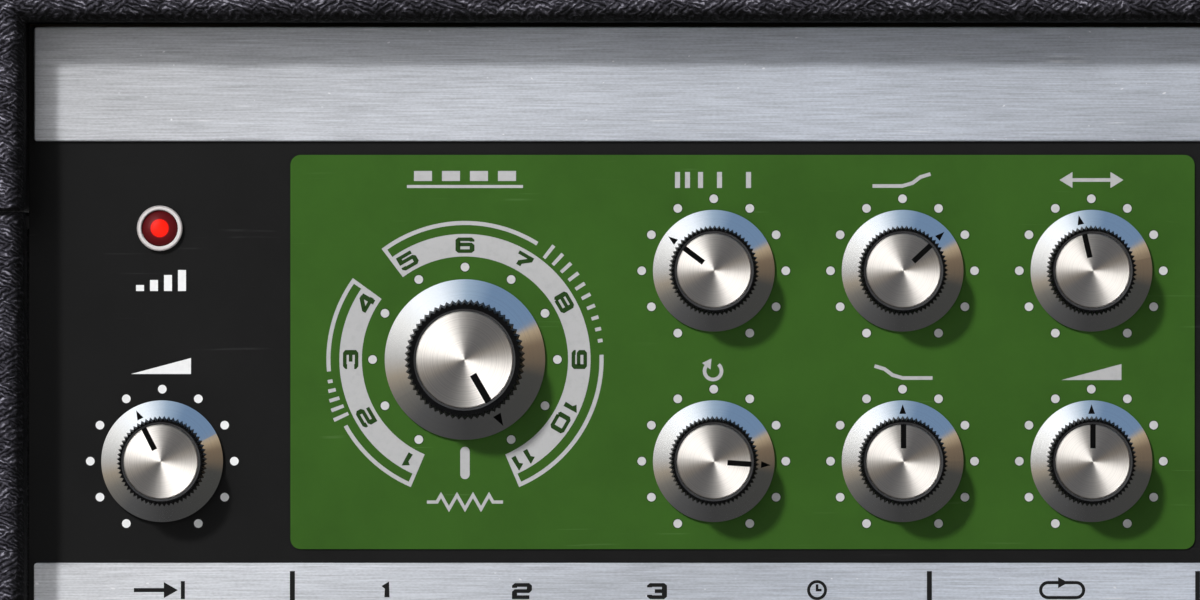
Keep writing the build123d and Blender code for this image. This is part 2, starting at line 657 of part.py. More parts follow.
def tape_loop():
    """Tape past the heads, then in loose folds across the tank."""
    pitch = 2 * TAPE_X / FOLDS
    near = DECK_FRONT + TANK_FRONT + TANK_WALL + FOLD_MARGIN
    far = DECK_REAR - DECK_CLEAR - TANK_WALL - FOLD_MARGIN
    points = [(-TAPE_X, TAPE_Y), (TAPE_X, TAPE_Y)]
    for i in range(FOLDS):
        slack = FOLD_SLACK * (1 + math.sin(FOLD_SWING * i)) / 2
        y = far - slack if i % 2 == 0 else near + slack
        points += [(TAPE_X - i * pitch, y), (TAPE_X - (i + 1) * pitch, y)]
    guide = GUIDE_R + TAPE_EDGE
    fold = pitch / 2 - THIN_GAP
    path = FilletPolyline(*points, radius=[guide, guide] + [fold] * (2 * FOLDS), close=True)
    area = make_face(path)
    ring = offset(area, TAPE_T / 2) - offset(area, -TAPE_T / 2)
    return Pos(0, 0, DECK_TOP + TAPE_RISE) * extrude(ring, TAPE_W)


def tape_heads():
    half = HEAD_W / 2
    nose = Pos(0, HEAD_NOSE_R, 0) * rod(HEAD_NOSE_R, 0, HEAD_H)
    nose = nose & block(-half, half, 0, HEAD_NOSE_R, 0, HEAD_H)
    head = nose + block(-half, half, HEAD_NOSE_R, HEAD_D, 0, HEAD_H)
    head = chamfer(head.faces().sort_by(Axis.Z)[-1].edges().sort_by(Axis.Y)[1:], HEAD_EDGE)
    wide = half + HEAD_FOOT_LAP
    head += block(-wide, wide, HEAD_SINK, HEAD_D + HEAD_FOOT_LAP, 0, HEAD_FOOT)
    y = TAPE_Y + TAPE_EDGE
    return group(Pos(HEAD_START - TAPE_X + i * HEAD_PITCH, y, DECK_TOP) * head for i in range(HEADS))


def tape_guides():
    low = TAPE_RISE - THIN_GAP
    high = TAPE_RISE + TAPE_W + THIN_GAP
    flange = GUIDE_R + GUIDE_FLANGE
    top = high + GUIDE_FLANGE
    post = turned(
        (0, 0),
        (flange, 0),
        (flange, low),
        (GUIDE_R, low),
        (GUIDE_R, high),
        (flange, high),
        (flange, top),
        (0, top),
    )
    inset = GUIDE_R + TAPE_EDGE
    return group(Pos(side * (TAPE_X - inset), TAPE_Y + inset, DECK_TOP) * post for side in (-1, 1))


def capstan():
    top = WHEEL_Z + FLYWHEEL_T
    web = WHEEL_Z + FLYWHEEL_WEB
    rim = FLYWHEEL_R - FLYWHEEL_RIM
    tip = DECK_TOP + CAPSTAN_H
    wheel = turned(
        (0, WHEEL_Z),
        (FLYWHEEL_R, WHEEL_Z),
        (FLYWHEEL_R, top),
        (rim, top),
        (rim, web),
        (FLYWHEEL_HUB_R, web),
        (FLYWHEEL_HUB_R, top),
        (CAPSTAN_R, top),
        (CAPSTAN_R, tip - CAP_CHAMFER),
        (CAPSTAN_R - CAP_CHAMFER, tip),
        (0, tip),
    )
    return Pos(CAPSTAN_X, CAPSTAN_Y, 0) * wheel


def pinch():
    lift = DECK_TOP + ARM_RISE
    arm = hull_plate(ARM_R, ARM_R, (-ARM_X, ARM_Y), lift, ARM_TOP)
    arm -= rod(PIVOT_R + RUN_CLEAR, lift, ARM_TOP)
    arm += Pos(-ARM_X, ARM_Y, 0) * rod(ROLLER_PIN_R, lift, ARM_TOP + ROLLER_H + 2 * THIN_GAP)
    roller = rod(ROLLER_R, 0, ROLLER_H) - rod(ROLLER_PIN_R + RUN_CLEAR, 0, ROLLER_H)
    return {
        "pinch_arm": arm_place() * arm,
        "pinch_roller": Pos(CAPSTAN_X, ROLLER_Y, ARM_TOP + THIN_GAP) * roller,
    }


def motor_can(low):
    bottom = low + MOTOR_BOSS_H
    can = turned(
        (0, low),
        (MOTOR_BOSS_R, low),
        (MOTOR_BOSS_R, bottom),
        (MOTOR_R - MOTOR_EDGE, bottom),
        (MOTOR_R, bottom + MOTOR_EDGE),
        (MOTOR_R, DECK_Z),
        (0, DECK_Z),
    )
    plate = extrude(RectangleRounded(MOTOR_PLATE, MOTOR_PLATE, MOTOR_PLATE_R), -MOTOR_PLATE_T)
    return can + Pos(0, 0, DECK_Z) * plate


def drive():
    place = Pos(CAPSTAN_X - MOTOR_X, TAPE_Y + MOTOR_Y, 0)
    low = DECK_Z - MOTOR_LEN
    bore = rod(MOTOR_SHAFT_R + RUN_CLEAR, low, low + MOTOR_LEN / 2)
    shaft = rod(MOTOR_SHAFT_R, WHEEL_Z, low + MOTOR_LEN / 2 - THIN_GAP)
    to = (MOTOR_X, CAPSTAN_Y - TAPE_Y - MOTOR_Y)
    z0 = WHEEL_Z + BELT_INSET
    z1 = WHEEL_Z + FLYWHEEL_T - BELT_INSET
    inside = hull_plate(PULLEY_R + THIN_GAP, FLYWHEEL_R + THIN_GAP, to, z0, z1)
    outside = hull_plate(PULLEY_R + THIN_GAP + BELT_T, FLYWHEEL_R + THIN_GAP + BELT_T, to, z0, z1)
    return {
        "motor": place * (motor_can(low) - bore),
        "motor_pulley": place * (rod(PULLEY_R, WHEEL_Z, WHEEL_Z + FLYWHEEL_T) + shaft),
        "drive_belt": place * (outside - inside),
    }


# Rear connections and the pieces on the floor of the case

def on_rear(x):
    """A place on the rear plate's outer face: local Z out of the back."""
    return Pos(x, REAR_Y + REAR_T, REAR_Z) * Rot(-90, 0, 0)


def jack():
    back = -REAR_T - JACK_BODY_LEN
    body = rod(JACK_BODY_R, back, -REAR_T) + rod(JACK_BUSH_R, -REAR_T, JACK_OUT)
    body += extrude(RegularPolygon(JACK_NUT_R, 6), JACK_NUT_H)
    return body - rod(JACK_BORE_R, back + JACK_FLOOR, JACK_OUT)


def mains_inlet():
    w = INLET_W / 2
    h = INLET_H / 2
    fw, fh = INLET_FLANGE
    pw, ph = INLET_PIN
    t = INLET_WALL
    floor = INLET_FLANGE_T - INLET_DEPTH
    body = block(-w - t, w + t, -h - t, h + t, floor - t, INLET_FLANGE_T)
    body += extrude(RectangleRounded(fw, fh, INLET_WALL), INLET_FLANGE_T)
    hollow = block(-w, w, -h, h, floor, INLET_FLANGE_T)
    body -= chamfer(hollow.edges().filter_by(Axis.Z).sort_by(Axis.Y)[2:], INLET_BEVEL)
    pin = block(-pw / 2, pw / 2, -ph / 2, ph / 2, floor, floor + INLET_PIN_LEN)
    pins = [
        Pos(i * INLET_PIN_SPREAD, rise, 0) * pin
        for i, rise in ((-1, INLET_PIN_RISE / 2), (0, -INLET_PIN_RISE / 2), (1, INLET_PIN_RISE / 2))
    ]
    return group([on_rear(INLET_X) * piece for piece in [body] + pins])


def rear():
    half = REAR_W / 2
    plate = block(-half, half, REAR_Y, REAR_Y + REAR_T, REAR_Z - REAR_H / 2, REAR_Z + REAR_H / 2)
    for x in JACK_X:
        plate -= on_rear(x) * rod(JACK_BUSH_R + HOLE_CLEAR, -REAR_T, 0)
    w = INLET_W / 2 + INLET_WALL + HOLE_CLEAR
    h = INLET_H / 2 + INLET_WALL + HOLE_CLEAR
    plate -= on_rear(INLET_X) * block(-w, w, -h, h, -REAR_T, 0)
    return {
        "rear_panel": plate,
        "jack_sockets": group(on_rear(x) * jack() for x in JACK_X),
        "mains_inlet": mains_inlet(),
    }


def circuit_board():
    w, d = BOARD_SIZE
    z = BOARD_LEG + BOARD_T
    board = block(-w / 2, w / 2, -d / 2, d / 2, BOARD_LEG, z)
    for i in (-1, 1):
        for j in (-1, 1):
            leg = rod(BOARD_LEG_R, 0, BOARD_LEG)
            board += Pos(i * (w / 2 - BOARD_LEG), j * (d / 2 - BOARD_LEG), 0) * leg
    for i in range(CANS):
        board += Pos((i - (CANS - 1) / 2) * CAN_PITCH, 0, 0) * rod(CAN_R, z, z + CAN_H)
    cw, cd, ch = CHIP
    for i in range(CHIPS):
        x = (i - (CHIPS - 1) / 2) * CHIP_PITCH
        board += block(x - cw / 2, x + cw / 2, -CHIP_ROW - cd / 2, cd / 2 - CHIP_ROW, z, z + ch)
    front = PANEL_BACK + SELECTOR_LEN + BOARD_FRONT
    return Pos(BOARD_SIDE - INNER_X + w / 2, front + d / 2, FLOOR_Z) * board


def transformer():
    w, d, h = CORE
    reach, thick = CORE_FOOT
    core = block(-w / 2, w / 2, -d / 2, d / 2, 0, h)
    core += block(-w / 2 - reach, w / 2 + reach, -d / 2, d / 2, 0, thick)
    half = w / 2 - CORE_WINDOW
    coil = block(-half, half, -d / 2 - COIL_BULGE, d / 2 + COIL_BULGE, CORE_WINDOW, h - CORE_WINDOW)
    coil = fillet(coil.edges().filter_by(Axis.Z), COIL_R)
    return Pos(CORE_X, INNER_REAR - CORE_REAR - d / 2, FLOOR_Z) * (core + coil)


def reverb_tank():
    d, h = SPRING_PAN
    w = CORE_X - CORE[0] / 2 - CORE_FOOT[0] - PAN_GAP - (PAN_SIDE - INNER_X)
    pan = block(-w / 2, w / 2, -d / 2, d / 2, 0, h)
    pan -= block(-w / 2 + PAN_T, w / 2 - PAN_T, -d / 2 + PAN_T, d / 2 - PAN_T, PAN_T, h - PAN_T)
    return Pos(PAN_SIDE - INNER_X + w / 2, INNER_REAR - PAN_REAR - d / 2, FLOOR_Z) * pan


def build():
    nodes = {
        "cabinet_shell": cabinet_shell(),
        "lid": lid(),
        "feet": feet(),
        "deck_plate": deck_plate(),
        "tank_cover": tank_cover(),
        "tape_loop": tape_loop(),
        "tape_heads": tape_heads(),
        "tape_guides": tape_guides(),
        "capstan": capstan(),
        "circuit_board": circuit_board(),
        "transformer": transformer(),
        "reverb_tank": reverb_tank(),
    }
    for made in (knobs(), controls(), plates(), hinges(), pinch(), drive(), rear()):
        nodes.update(made)
    return nodes


os.makedirs("parts", exist_ok=True)
for node, shape in build().items():
    export_step(shape, f"parts/{node}.step")
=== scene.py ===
import math

import bmesh
import bpy
from mathutils import Matrix, Vector


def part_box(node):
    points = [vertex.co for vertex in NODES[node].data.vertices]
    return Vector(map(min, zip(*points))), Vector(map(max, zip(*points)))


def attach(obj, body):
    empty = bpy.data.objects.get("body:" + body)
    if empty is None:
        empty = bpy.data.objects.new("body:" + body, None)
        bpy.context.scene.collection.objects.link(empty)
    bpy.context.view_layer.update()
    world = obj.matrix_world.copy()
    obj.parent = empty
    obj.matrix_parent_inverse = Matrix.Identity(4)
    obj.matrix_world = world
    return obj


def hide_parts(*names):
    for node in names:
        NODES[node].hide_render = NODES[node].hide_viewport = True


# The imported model
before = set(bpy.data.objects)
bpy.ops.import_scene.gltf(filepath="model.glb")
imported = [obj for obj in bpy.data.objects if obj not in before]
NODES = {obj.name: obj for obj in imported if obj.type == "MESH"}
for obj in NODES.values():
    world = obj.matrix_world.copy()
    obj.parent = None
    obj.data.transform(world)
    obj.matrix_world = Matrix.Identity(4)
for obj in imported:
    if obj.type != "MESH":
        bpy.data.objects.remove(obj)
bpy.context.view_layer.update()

# Scale: the photograph's pixels on the panel, in metres
MM = 0.001
PX = 0.24 * MM
PHOTO_SIZE = (1200, 600)
PHOTO_MIDDLE_X = 742.5  # panel's middle in the photograph
PHOTO_PANEL_TOP = 27

# Planes of the panel
FIELD_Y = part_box("front_panel")[0].y
GREEN_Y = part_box("green_plate")[0].y
STRIP_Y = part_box("top_strip")[0].y
PANEL_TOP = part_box("top_strip")[1].z
PANEL_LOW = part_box("bottom_strip")[0].z
INK = 0.03 * MM  # prints stand this far off their plate
INK_FOOT = 0.005 * MM  # and start this far off it
LAYER = 0.01 * MM  # from one layer of ink to the next

# The case's covering and its bare inside
BOARD = 14.5 * MM
SHELL_LOW, SHELL_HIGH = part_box("cabinet_shell")
FRONT_Y = SHELL_LOW.y
INNER_X = SHELL_HIGH.x - BOARD
INNER_REAR = SHELL_HIGH.y - BOARD
FLOOR_Z = SHELL_LOW.z + BOARD
LID_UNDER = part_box("lid")[1].z - BOARD
BARE_FROM = FIELD_Y + 22 * MM  # the boards are bare behind this
BARE_MARGIN = 0.3 * MM
MOUTH_R = 5 * MM  # rounded edge round the panel
MOUTH_SHADE_DEPTH = 1.4 * MM  # depth over which painted shade darkens that edge
SEAM_MIDDLE = (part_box("lid")[0].z + SHELL_HIGH.z) / 2
SEAM_SHADE_HALF = 0.75 * MM  # painted shade darkens the covering up to here
SEAM_SHADE_EDGE = 1.4 * MM  # and stops from here on

# Knobs: a pointer arrow has its base, its tip and half its width
POINTER = {
    "input_volume": -27, "echo_rate": -53, "feedback": 94, "treble": 47, "bass": 0, "echo_pan": -13,
    "echo_volume": 0, "head_select": 150,
}
KNOB_NAMES = list(POINTER)
DIAL_ANGLES = [-150 + 30 * i for i in range(11)]
DOTS_R = 72.0 * PX  # rings of dots round the knobs
LARGE_DOTS_R = 92.4 * PX
DOT_R = 4.35 * PX
DOT_EDGE_R = 5.2 * PX
DOT_SIDES = 20
ARROW = (47.5 * PX, 57.0 * PX, 3.3 * PX)
LARGE_ARROW = (64.0 * PX, 76.6 * PX, 4.3 * PX)
ARROW_T = 0.05 * MM
SKIRT_SLOPE = math.tan(math.radians(25))
SKIRT_LIP = 0.8 * MM
RECESS_CHAMFER = 0.5 * MM  # edge of the grip's recess round the cap
RECESS_TOP = 0.02 * MM  # that edge starts this far down
GROOVE_TOP = 0.05 * MM  # a cap's groove lies between these depths
GROOVE_LOW = 0.4 * MM
GROOVE_END = 0.3 * MM  # and this far inside the cap

# Selector's scale, by distance from the knob's middle
SCALE_PARTS = ((-157, -54, (-119, -95)), (-37, 157, (32, 88)))  # start, end and the outline's gap
SCALE_INNER = 103.1 * PX
SCALE_OUTER = 125.6 * PX
LINE_INNER = 134.5 * PX
LINE_OUTER = 138.6 * PX
LINE_END = 1.7  # degrees that a line's end takes
HAIR = 0.02 * PX  # keeps neighbouring outlines apart
NUMBERS_R = 114.3 * PX
MARKS = ((-107, 5, 3.9), (60, 10, 4.9))  # middle, count and pitch of the fading marks in each gap
MARKS_R = 136.5 * PX
MARK_HALF = 8.0 * PX
MARK_TURN = 0.75  # half of a mark's width, in degrees
MARK_FADE = 0.7  # the last mark is shorter by this share
TICK_R = 103.4 * PX
TICK_HALF = 11.5 * PX
TICK_WIDE = 9.4 * PX

# Prints on the bottom strip: places are in photograph pixels
HEAD_NUMBERS = ((387, 591), (522, 591), (657, 591))
DIVIDERS_X = (292.5, 929.3, 1197.5)
DIVIDER_TOP = 571
DIVIDER_HALF = 2.5 * PX
DIVIDER_FOOT = 2 * MM  # above the strip's lower edge

# Marks round the power lever, and arrows over the sockets
POWER_LINE = (6 * MM, 10 * MM)  # heights of its ends above the lever
POWER_LINE_HALF = 0.45 * MM
POWER_RING_DROP = 7 * MM
POWER_RING_R = 2.0 * MM
POWER_RING_LINE = 0.85 * MM
SOCKET_ARROW_RISE = 3 * MM
SOCKET_ARROW_HIGH = 4 * MM
SOCKET_ARROW_HALF = 2 * MM

# Inner and rear pieces
DECK_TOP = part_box("tape_heads")[0].z
HEAD_FOOT = 2 * MM
HEAD_WIDE = 18 * MM  # a head's foot, across
HEAD_COUNT = 5
COIL_BULGE = 9 * MM  # transformer's coil past its laminations
BOARD_LEVEL = 9.6 * MM  # circuit board's top above its legs' ends
CAN_R = 8 * MM
PIN_SPREAD = 7 * MM  # mains pins
PIN_HALF = 1.05 * MM
PIN_REACH = 4.1 * MM
PIN_FLOOR = 1.8 * MM  # socket's floor inside its body
HINGE_LEAF_T = 1.4 * MM
HINGE_HALF = 20 * MM
JACK_NUT_R = 7 * MM
CLEAR = 0.1 * MM  # keeps a choice of faces off an edge

# Screws: insets from the edges of what they hold, and shares of a head's radius
HINGE_SCREW_STEP = 12 * MM
REAR_INSET = 5.5 * MM
INLET_INSET = 5.2 * MM
DECK_INSET = 8 * MM
HEAD_INSET = 1.3 * MM
HEAD_BACK = 6 * MM
SCREW_R = {"hinge": 2.6 * MM, "rear": 2.4 * MM, "inlet": 2.2 * MM, "deck": 2.6 * MM, "head": 1.0 * MM}
SCREW_HEIGHT = 0.42
SCREW_SLOT = 0.26
SCREW_DOME = ((1.0, 0.0), (1.0, 0.4), (0.9, 0.75), (0.65, 0.95))
SLOT_LENGTH = 0.97
SLOT_FLOOR = 0.3  # share of the head's height
MOON_STEPS = 12
SLOT_TURN = 25  # degrees that the first slot is turned
SLOT_STEP = 67  # and each next one further

# Lamps
LENS_R = 4.45 * MM
LENS_FOOT = 0.9 * MM
LENS_RISE = 1.3 * MM
LENS_BALL = (LENS_R ** 2 + LENS_RISE ** 2) / (2 * LENS_RISE)
LENS_RINGS = 11
LENS_SIDES = 40
LENS_SUNK = 2.0 * MM  # lens's seat behind the bezel's face
BEZEL_REACH = 12 * MM  # points nearer than this are on one bezel
GLOW_R = 4.5 * MM

# Light and camera
KEY_DIRECTION = Vector((-0.42, -1.0, 0.52))
KEY_DISTANCE = 3.0
KEY_SIZE = 0.24
KEY_POWER = 73.0
BACK_DIRECTION = Vector((0.4, 1.0, 0.85))
BACK_DISTANCE = 2.4
BACK_SIZE = 1.4
BACK_POWER = 30.0
WORLD_FILL = (0.25, 0.2525, 0.258)
WORLD_SEEN = (0.86, 0.865, 0.87)
FLOOR_HALF = 30.0
DOME_R = 2.2
FOCAL_LENGTH = 600
SENSOR = 36.0
VIEW_END = 60.0

# Sockets of a node that mixes colours
MIX_FACTOR = 0
MIX_A = 6
MIX_B = 7
MIX_OUT = 2


# Node trees

def grey(level):
    return (level, level, level)


def tint(colour, factor):
    """A colour made lighter or darker."""
    return tuple(min(1.0, c * factor) for c in colour)


def new_material(name):
    material = bpy.data.materials.new(name)
    material.use_nodes = True
    tree = material.node_tree
    return material, tree, tree.nodes["Principled BSDF"]


def feed(tree, made, inputs):
    """Sets numbers, vectors and colours on a node's sockets, or links other sockets to them."""
    for key, source in inputs.items():
        socket = made.inputs[key]
        if isinstance(source, bpy.types.NodeSocket):
            tree.links.new(source, socket)
        elif socket.type == "RGBA":
            socket.default_value = (*source, 1)
        else:
            socket.default_value = source


def node(tree, kind, inputs=None, **settings):
    made = tree.nodes.new(kind)
    for key, setting in settings.items():
        setattr(made, key, setting)
    feed(tree, made, inputs or {})
    return made


def place(tree, scale=(1, 1, 1), rotation=(0, 0, 0)):
    """Object coordinates, scaled and turned."""
    at = node(tree, "ShaderNodeTexCoord").outputs["Object"]
    mapping = node(tree, "ShaderNodeMapping", {"Vector": at, "Scale": scale, "Rotation": rotation})
    return mapping.outputs["Vector"]


def axes(tree, vector):
    """The X, Y and Z of a vector."""
    return node(tree, "ShaderNodeSeparateXYZ", {"Vector": vector}).outputs


def noise(tree, vector, scale, detail, roughness, distortion=0.0):
    inputs = {"Vector": vector, "Scale": scale, "Detail": detail, "Roughness": roughness}
    return node(tree, "ShaderNodeTexNoise", {**inputs, "Distortion": distortion}).outputs["Fac"]


def ramp(tree, factor, stops):
    made = node(tree, "ShaderNodeValToRGB", {"Fac": factor})
    elements = made.color_ramp.elements
    while len(elements) < len(stops):
        elements.new(0.5)
    for element, (position, colour) in zip(elements, stops):
        element.position = position
        element.color = (*colour, 1)
    return made.outputs["Color"]


def remap(tree, value, low, high, to_low=0.0, to_high=1.0):
    inputs = {"Value": value, "From Min": low, "From Max": high, "To Min": to_low, "To Max": to_high}
    return node(tree, "ShaderNodeMapRange", inputs).outputs["Result"]


def maths(tree, operation, *values):
    return node(tree, "ShaderNodeMath", dict(enumerate(values)), operation=operation).outputs["Value"]


def product(tree, *factors):
    made = factors[0]
    for factor in factors[1:]:
        made = maths(tree, "MULTIPLY", made, factor)
    return made


def within(tree, value, low, high):
    """1 where the value lies between the two."""
    above = maths(tree, "GREATER_THAN", value, low)
    return product(tree, above, maths(tree, "LESS_THAN", value, high))


def off_middle(tree, a, b):
    """How far two coordinates lie from their origin."""
    squares = [maths(tree, "POWER", part, 2.0) for part in (a, b)]
    return maths(tree, "SQRT", maths(tree, "ADD", *squares))


def mix(tree, factor, a, b, blend="MIX"):
    inputs = {MIX_FACTOR: factor, MIX_A: a, MIX_B: b}
    return node(tree, "ShaderNodeMix", inputs, data_type="RGBA", blend_type=blend).outputs[MIX_OUT]


def multiply(tree, a, b):
    """One colour times another."""
    return mix(tree, 1.0, a, b, "MULTIPLY")


def bump(tree, height, distance, strength=1.0):
    inputs = {"Height": height, "Distance": distance, "Strength": strength}
    return node(tree, "ShaderNodeBump", inputs).outputs["Normal"]


def scratches(tree, scale, angle, threshold):
    """Sparse fine lines: 1 on a scratch."""
    lines = noise(tree, place(tree, (scale, scale, scale * 40), (0, angle, 0)), 1.0, 2.0, 0.5)
    patches = noise(tree, place(tree), 60.0, 2.0, 0.5)
    line = remap(tree, lines, threshold, threshold + 0.03)
    return product(tree, line, remap(tree, patches, 0.52, 0.62))


# Materials

def wrinkles(tree, lean, scale):
    """Wavy rolls side by side, leaning on every side of the case: 1 on a crest, 0 in a furrow."""
    inputs = {
        "Vector": place(tree, (0.7, 0.7, 1.0), (0.6, lean, 0)), "Scale": scale, "Distortion": 5.0,
        "Detail": 2.0, "Detail Scale": 2.5, "Detail Roughness": 0.5,
    }
    shape = {"wave_type": "BANDS", "bands_direction": "Z", "wave_profile": "SIN"}
    return node(tree, "ShaderNodeTexWave", inputs, **shape).outputs["Fac"]


def creases(tree, vector):
    """Wrinkles that lean either way by patches, with a few sharp folds, worn down in places."""
    falling = wrinkles(tree, 0.7, 340.0)
    rising = wrinkles(tree, -0.35, 400.0)
    turned = remap(tree, noise(tree, vector, 260.0, 2.0, 0.5), 0.47, 0.53)
    rolls = product(tree, mix(tree, turned, falling, rising), 0.8)
    folds = noise(tree, place(tree, (0.3, 0.7, 1.0), (0, 0.45, 0)), 300.0, 1.0, 0.4, 0.6)
    off_fold = maths(tree, "ABSOLUTE", maths(tree, "SUBTRACT", folds, 0.5))
    raised = maths(tree, "ADD", rolls, remap(tree, off_fold, 0.0, 0.1, 0.33, 0.0))
    broken = remap(tree, noise(tree, vector, 700.0, 3.0, 0.6), 0.32, 0.66, 0.45, 1.0)
    return product(tree, raised, broken)


def bare_wood(tree):
    grain = noise(tree, place(tree, (12, 450, 450)), 1.0, 6.0, 0.62, 0.15)
    wood = ramp(tree, grain, [
        (0.3, (0.20, 0.125, 0.065)),
        (0.5, (0.31, 0.20, 0.11)),
        (0.7, (0.39, 0.27, 0.155)),
    ])
    pores = noise(tree, place(tree, (70, 2200, 2200)), 1.0, 2.0, 0.5)
    return mix(tree, remap(tree, pores, 0.56, 0.7, 0.0, 0.5), wood, (0.12, 0.07, 0.035))


def leatherette():
    """Black wrinkled covering with painted shade in its furrows, in the seam and round the panel, and a
    painted sheen on its crests; bare board inside the case.
    """
    material, tree, shader = new_material("leatherette")
    vector = place(tree)
    at = axes(tree, vector)
    across = maths(tree, "ABSOLUTE", at["X"])

    crease = creases(tree, vector)
    fine = noise(tree, vector, 1300.0, 4.0, 0.65)
    height = maths(tree, "ADD", crease, product(tree, fine, 0.25))
    # Painted light: the covering's colour follows the wrinkles, with painted shade in the furrows and a
    # painted sheen on the crests.
    tone = ramp(tree, crease, [
        (0.0, (0.001, 0.001, 0.0015)),
        (0.12, (0.007, 0.0064, 0.009)),
        (0.4, (0.029, 0.0272, 0.0355)),
        (0.65, (0.068, 0.0645, 0.081)),
        (0.95, (0.34, 0.325, 0.385)),
    ])

    # Painted shade: the covering darkens where it turns into the mouth round the panel.
    depth = remap(tree, at["Y"], FRONT_Y, FRONT_Y + MOUTH_SHADE_DEPTH)
    mouth_shade_mask = product(
        tree,
        maths(tree, "LESS_THAN", across, INNER_X + MOUTH_R),
        within(tree, at["Z"], FLOOR_Z - MOUTH_R, LID_UNDER + MOUTH_R),
        maths(tree, "LESS_THAN", at["Y"], BARE_FROM),
    )
    shade = ramp(tree, depth, [(0.0, grey(1.0)), (0.35, grey(0.46)), (1.0, grey(0.07))])
    shade = mix(tree, mouth_shade_mask, grey(1.0), shade)
    # Painted shade: the covering turns almost black in the seam between lid and case.
    from_seam = maths(tree, "ABSOLUTE", maths(tree, "SUBTRACT", at["Z"], SEAM_MIDDLE))
    free_of_seam_shade = remap(tree, from_seam, SEAM_SHADE_HALF, SEAM_SHADE_EDGE)
    shade = mix(tree, free_of_seam_shade, grey(0.03), shade)

    inside = product(
        tree,
        maths(tree, "LESS_THAN", across, INNER_X + BARE_MARGIN),
        within(tree, at["Y"], BARE_FROM, INNER_REAR + BARE_MARGIN),
        within(tree, at["Z"], FLOOR_Z - BARE_MARGIN, LID_UNDER + BARE_MARGIN),
    )
    covering = multiply(tree, tone, shade)

    rough = remap(tree, crease, 0.0, 0.7, 0.85, 0.42)
    wood_rough = product(tree, inside, 0.7)
    mouth_rough = product(tree, mouth_shade_mask, depth, 0.95)
    seam_rough = maths(tree, "SUBTRACT", 1.0, free_of_seam_shade)
    for least in (wood_rough, mouth_rough, seam_rough):
        rough = maths(tree, "MAXIMUM", rough, least)
    covered = maths(tree, "SUBTRACT", 1.0, inside)
    feed(tree, shader, {
        "Base Color": mix(tree, inside, covering, bare_wood(tree)),
        "Roughness": rough,
        "Specular IOR Level": 0.2,
        "Normal": bump(tree, product(tree, height, covered), 0.35 * MM),
    })
    return material


def brushed_aluminium(name, colour, roughness, metallic):
    """Fine level lines, cloudy patches, a tint that cools to the right, pits and a few bright nicks."""
    material, tree, shader = new_material(name)
    lines = noise(tree, place(tree, (70, 1, 2700)), 1.0, 3.0, 0.55)
    pits = noise(tree, place(tree, (1100, 1, 2600)), 1.0, 1.0, 0.5)
    clouds = noise(tree, place(tree, (7, 1, 30)), 1.0, 3.0, 0.55)
    grain = maths(tree, "ADD", product(tree, lines, 0.75), product(tree, pits, 0.25))
    tone = ramp(tree, grain, [(0.34, tint(colour, 0.78)), (0.5, colour), (0.66, tint(colour, 1.2))])
    tone = multiply(tree, tone, ramp(tree, clouds, [(0.34, grey(0.82)), (0.66, grey(1.12))]))
    cool = remap(tree, axes(tree, place(tree))["X"], -0.16, 0.02)
    tone = multiply(tree, tone, mix(tree, cool, (1.0, 0.995, 0.95), (0.97, 1.01, 1.03)))
    nicks = noise(tree, place(tree, (500, 1, 900)), 1.0, 1.0, 0.5)
    nick = remap(tree, nicks, 0.75, 0.79, 0.0, 0.7)
    worn = product(tree, scratches(tree, 30.0, 0.35, 0.67), 0.5)
    tone = mix(tree, maths(tree, "MAXIMUM", nick, worn), tone, (0.9, 0.9, 0.92))
    feed(tree, shader, {
        "Base Color": tone,
        "Roughness": remap(tree, grain, 0.35, 0.65, roughness + 0.05, roughness - 0.05),
        "Metallic": metallic,
        "Anisotropic": 0.75,
        "Tangent": node(tree, "ShaderNodeCombineXYZ", {"Z": 1.0}).outputs["Vector"],
        "Normal": bump(tree, grain, 0.015 * MM, 0.4),
    })
    return material


def satin_paint(name, colour, roughness, mottle, scratch_colour, specular=0.5):
    """Paint with cloudy patches, fine specks and a few scratches."""
    material, tree, shader = new_material(name)
    cloud = noise(tree, place(tree), 55.0, 6.0, 0.65)
    speck = noise(tree, place(tree), 900.0, 2.0, 0.5)
    dark = tint(colour, 1 - mottle)
    light = tint(colour, 1 + mottle)
    tone = ramp(tree, cloud, [(0.32, dark), (0.5, colour), (0.7, light)])
    lines = maths(tree, "MAXIMUM", scratches(tree, 22.0, 0.9, 0.69), scratches(tree, 26.0, -0.5, 0.7))
    feed(tree, shader, {
        "Base Color": mix(tree, product(tree, lines, 0.35), tone, scratch_colour),
        "Roughness": remap(tree, cloud, 0.3, 0.7, roughness - 0.06, roughness + 0.08),
        "Specular IOR Level": specular,
        "Normal": bump(tree, speck, 0.02 * MM, 0.35),
    })
    return material


def turned_metal(name, colour, roughness, anisotropic, rings, shade):
    """Lathe-turned metal: fine rings round a piece's own axis and a stretched highlight."""
    material, tree, shader = new_material(name)
    spread = node(tree, "ShaderNodeTexCoord").outputs["Generated"]
    shifted = node(tree, "ShaderNodeVectorMath", {0: spread, 1: grey(0.5)}, operation="SUBTRACT")
    at = axes(tree, shifted.outputs["Vector"])
    ring = node(tree, "ShaderNodeTexNoise", noise_dimensions="1D")
    feed(tree, ring, {"W": off_middle(tree, at["X"], at["Z"]), "Scale": rings, "Detail": 3.0})
    line = ring.outputs["Fac"]
    tangent = node(tree, "ShaderNodeTangent", direction_type="RADIAL", axis="Y")
    feed(tree, shader, {
        "Base Color": ramp(tree, line, [(0.35, tint(colour, shade)), (0.65, colour)]),
        "Roughness": remap(tree, line, 0.3, 0.7, roughness + 0.04, roughness - 0.04),
        "Metallic": 1.0,
        "Anisotropic": anisotropic,
        "Anisotropic Rotation": 0.25,
        "Tangent": tangent.outputs["Tangent"],
    })
    return material


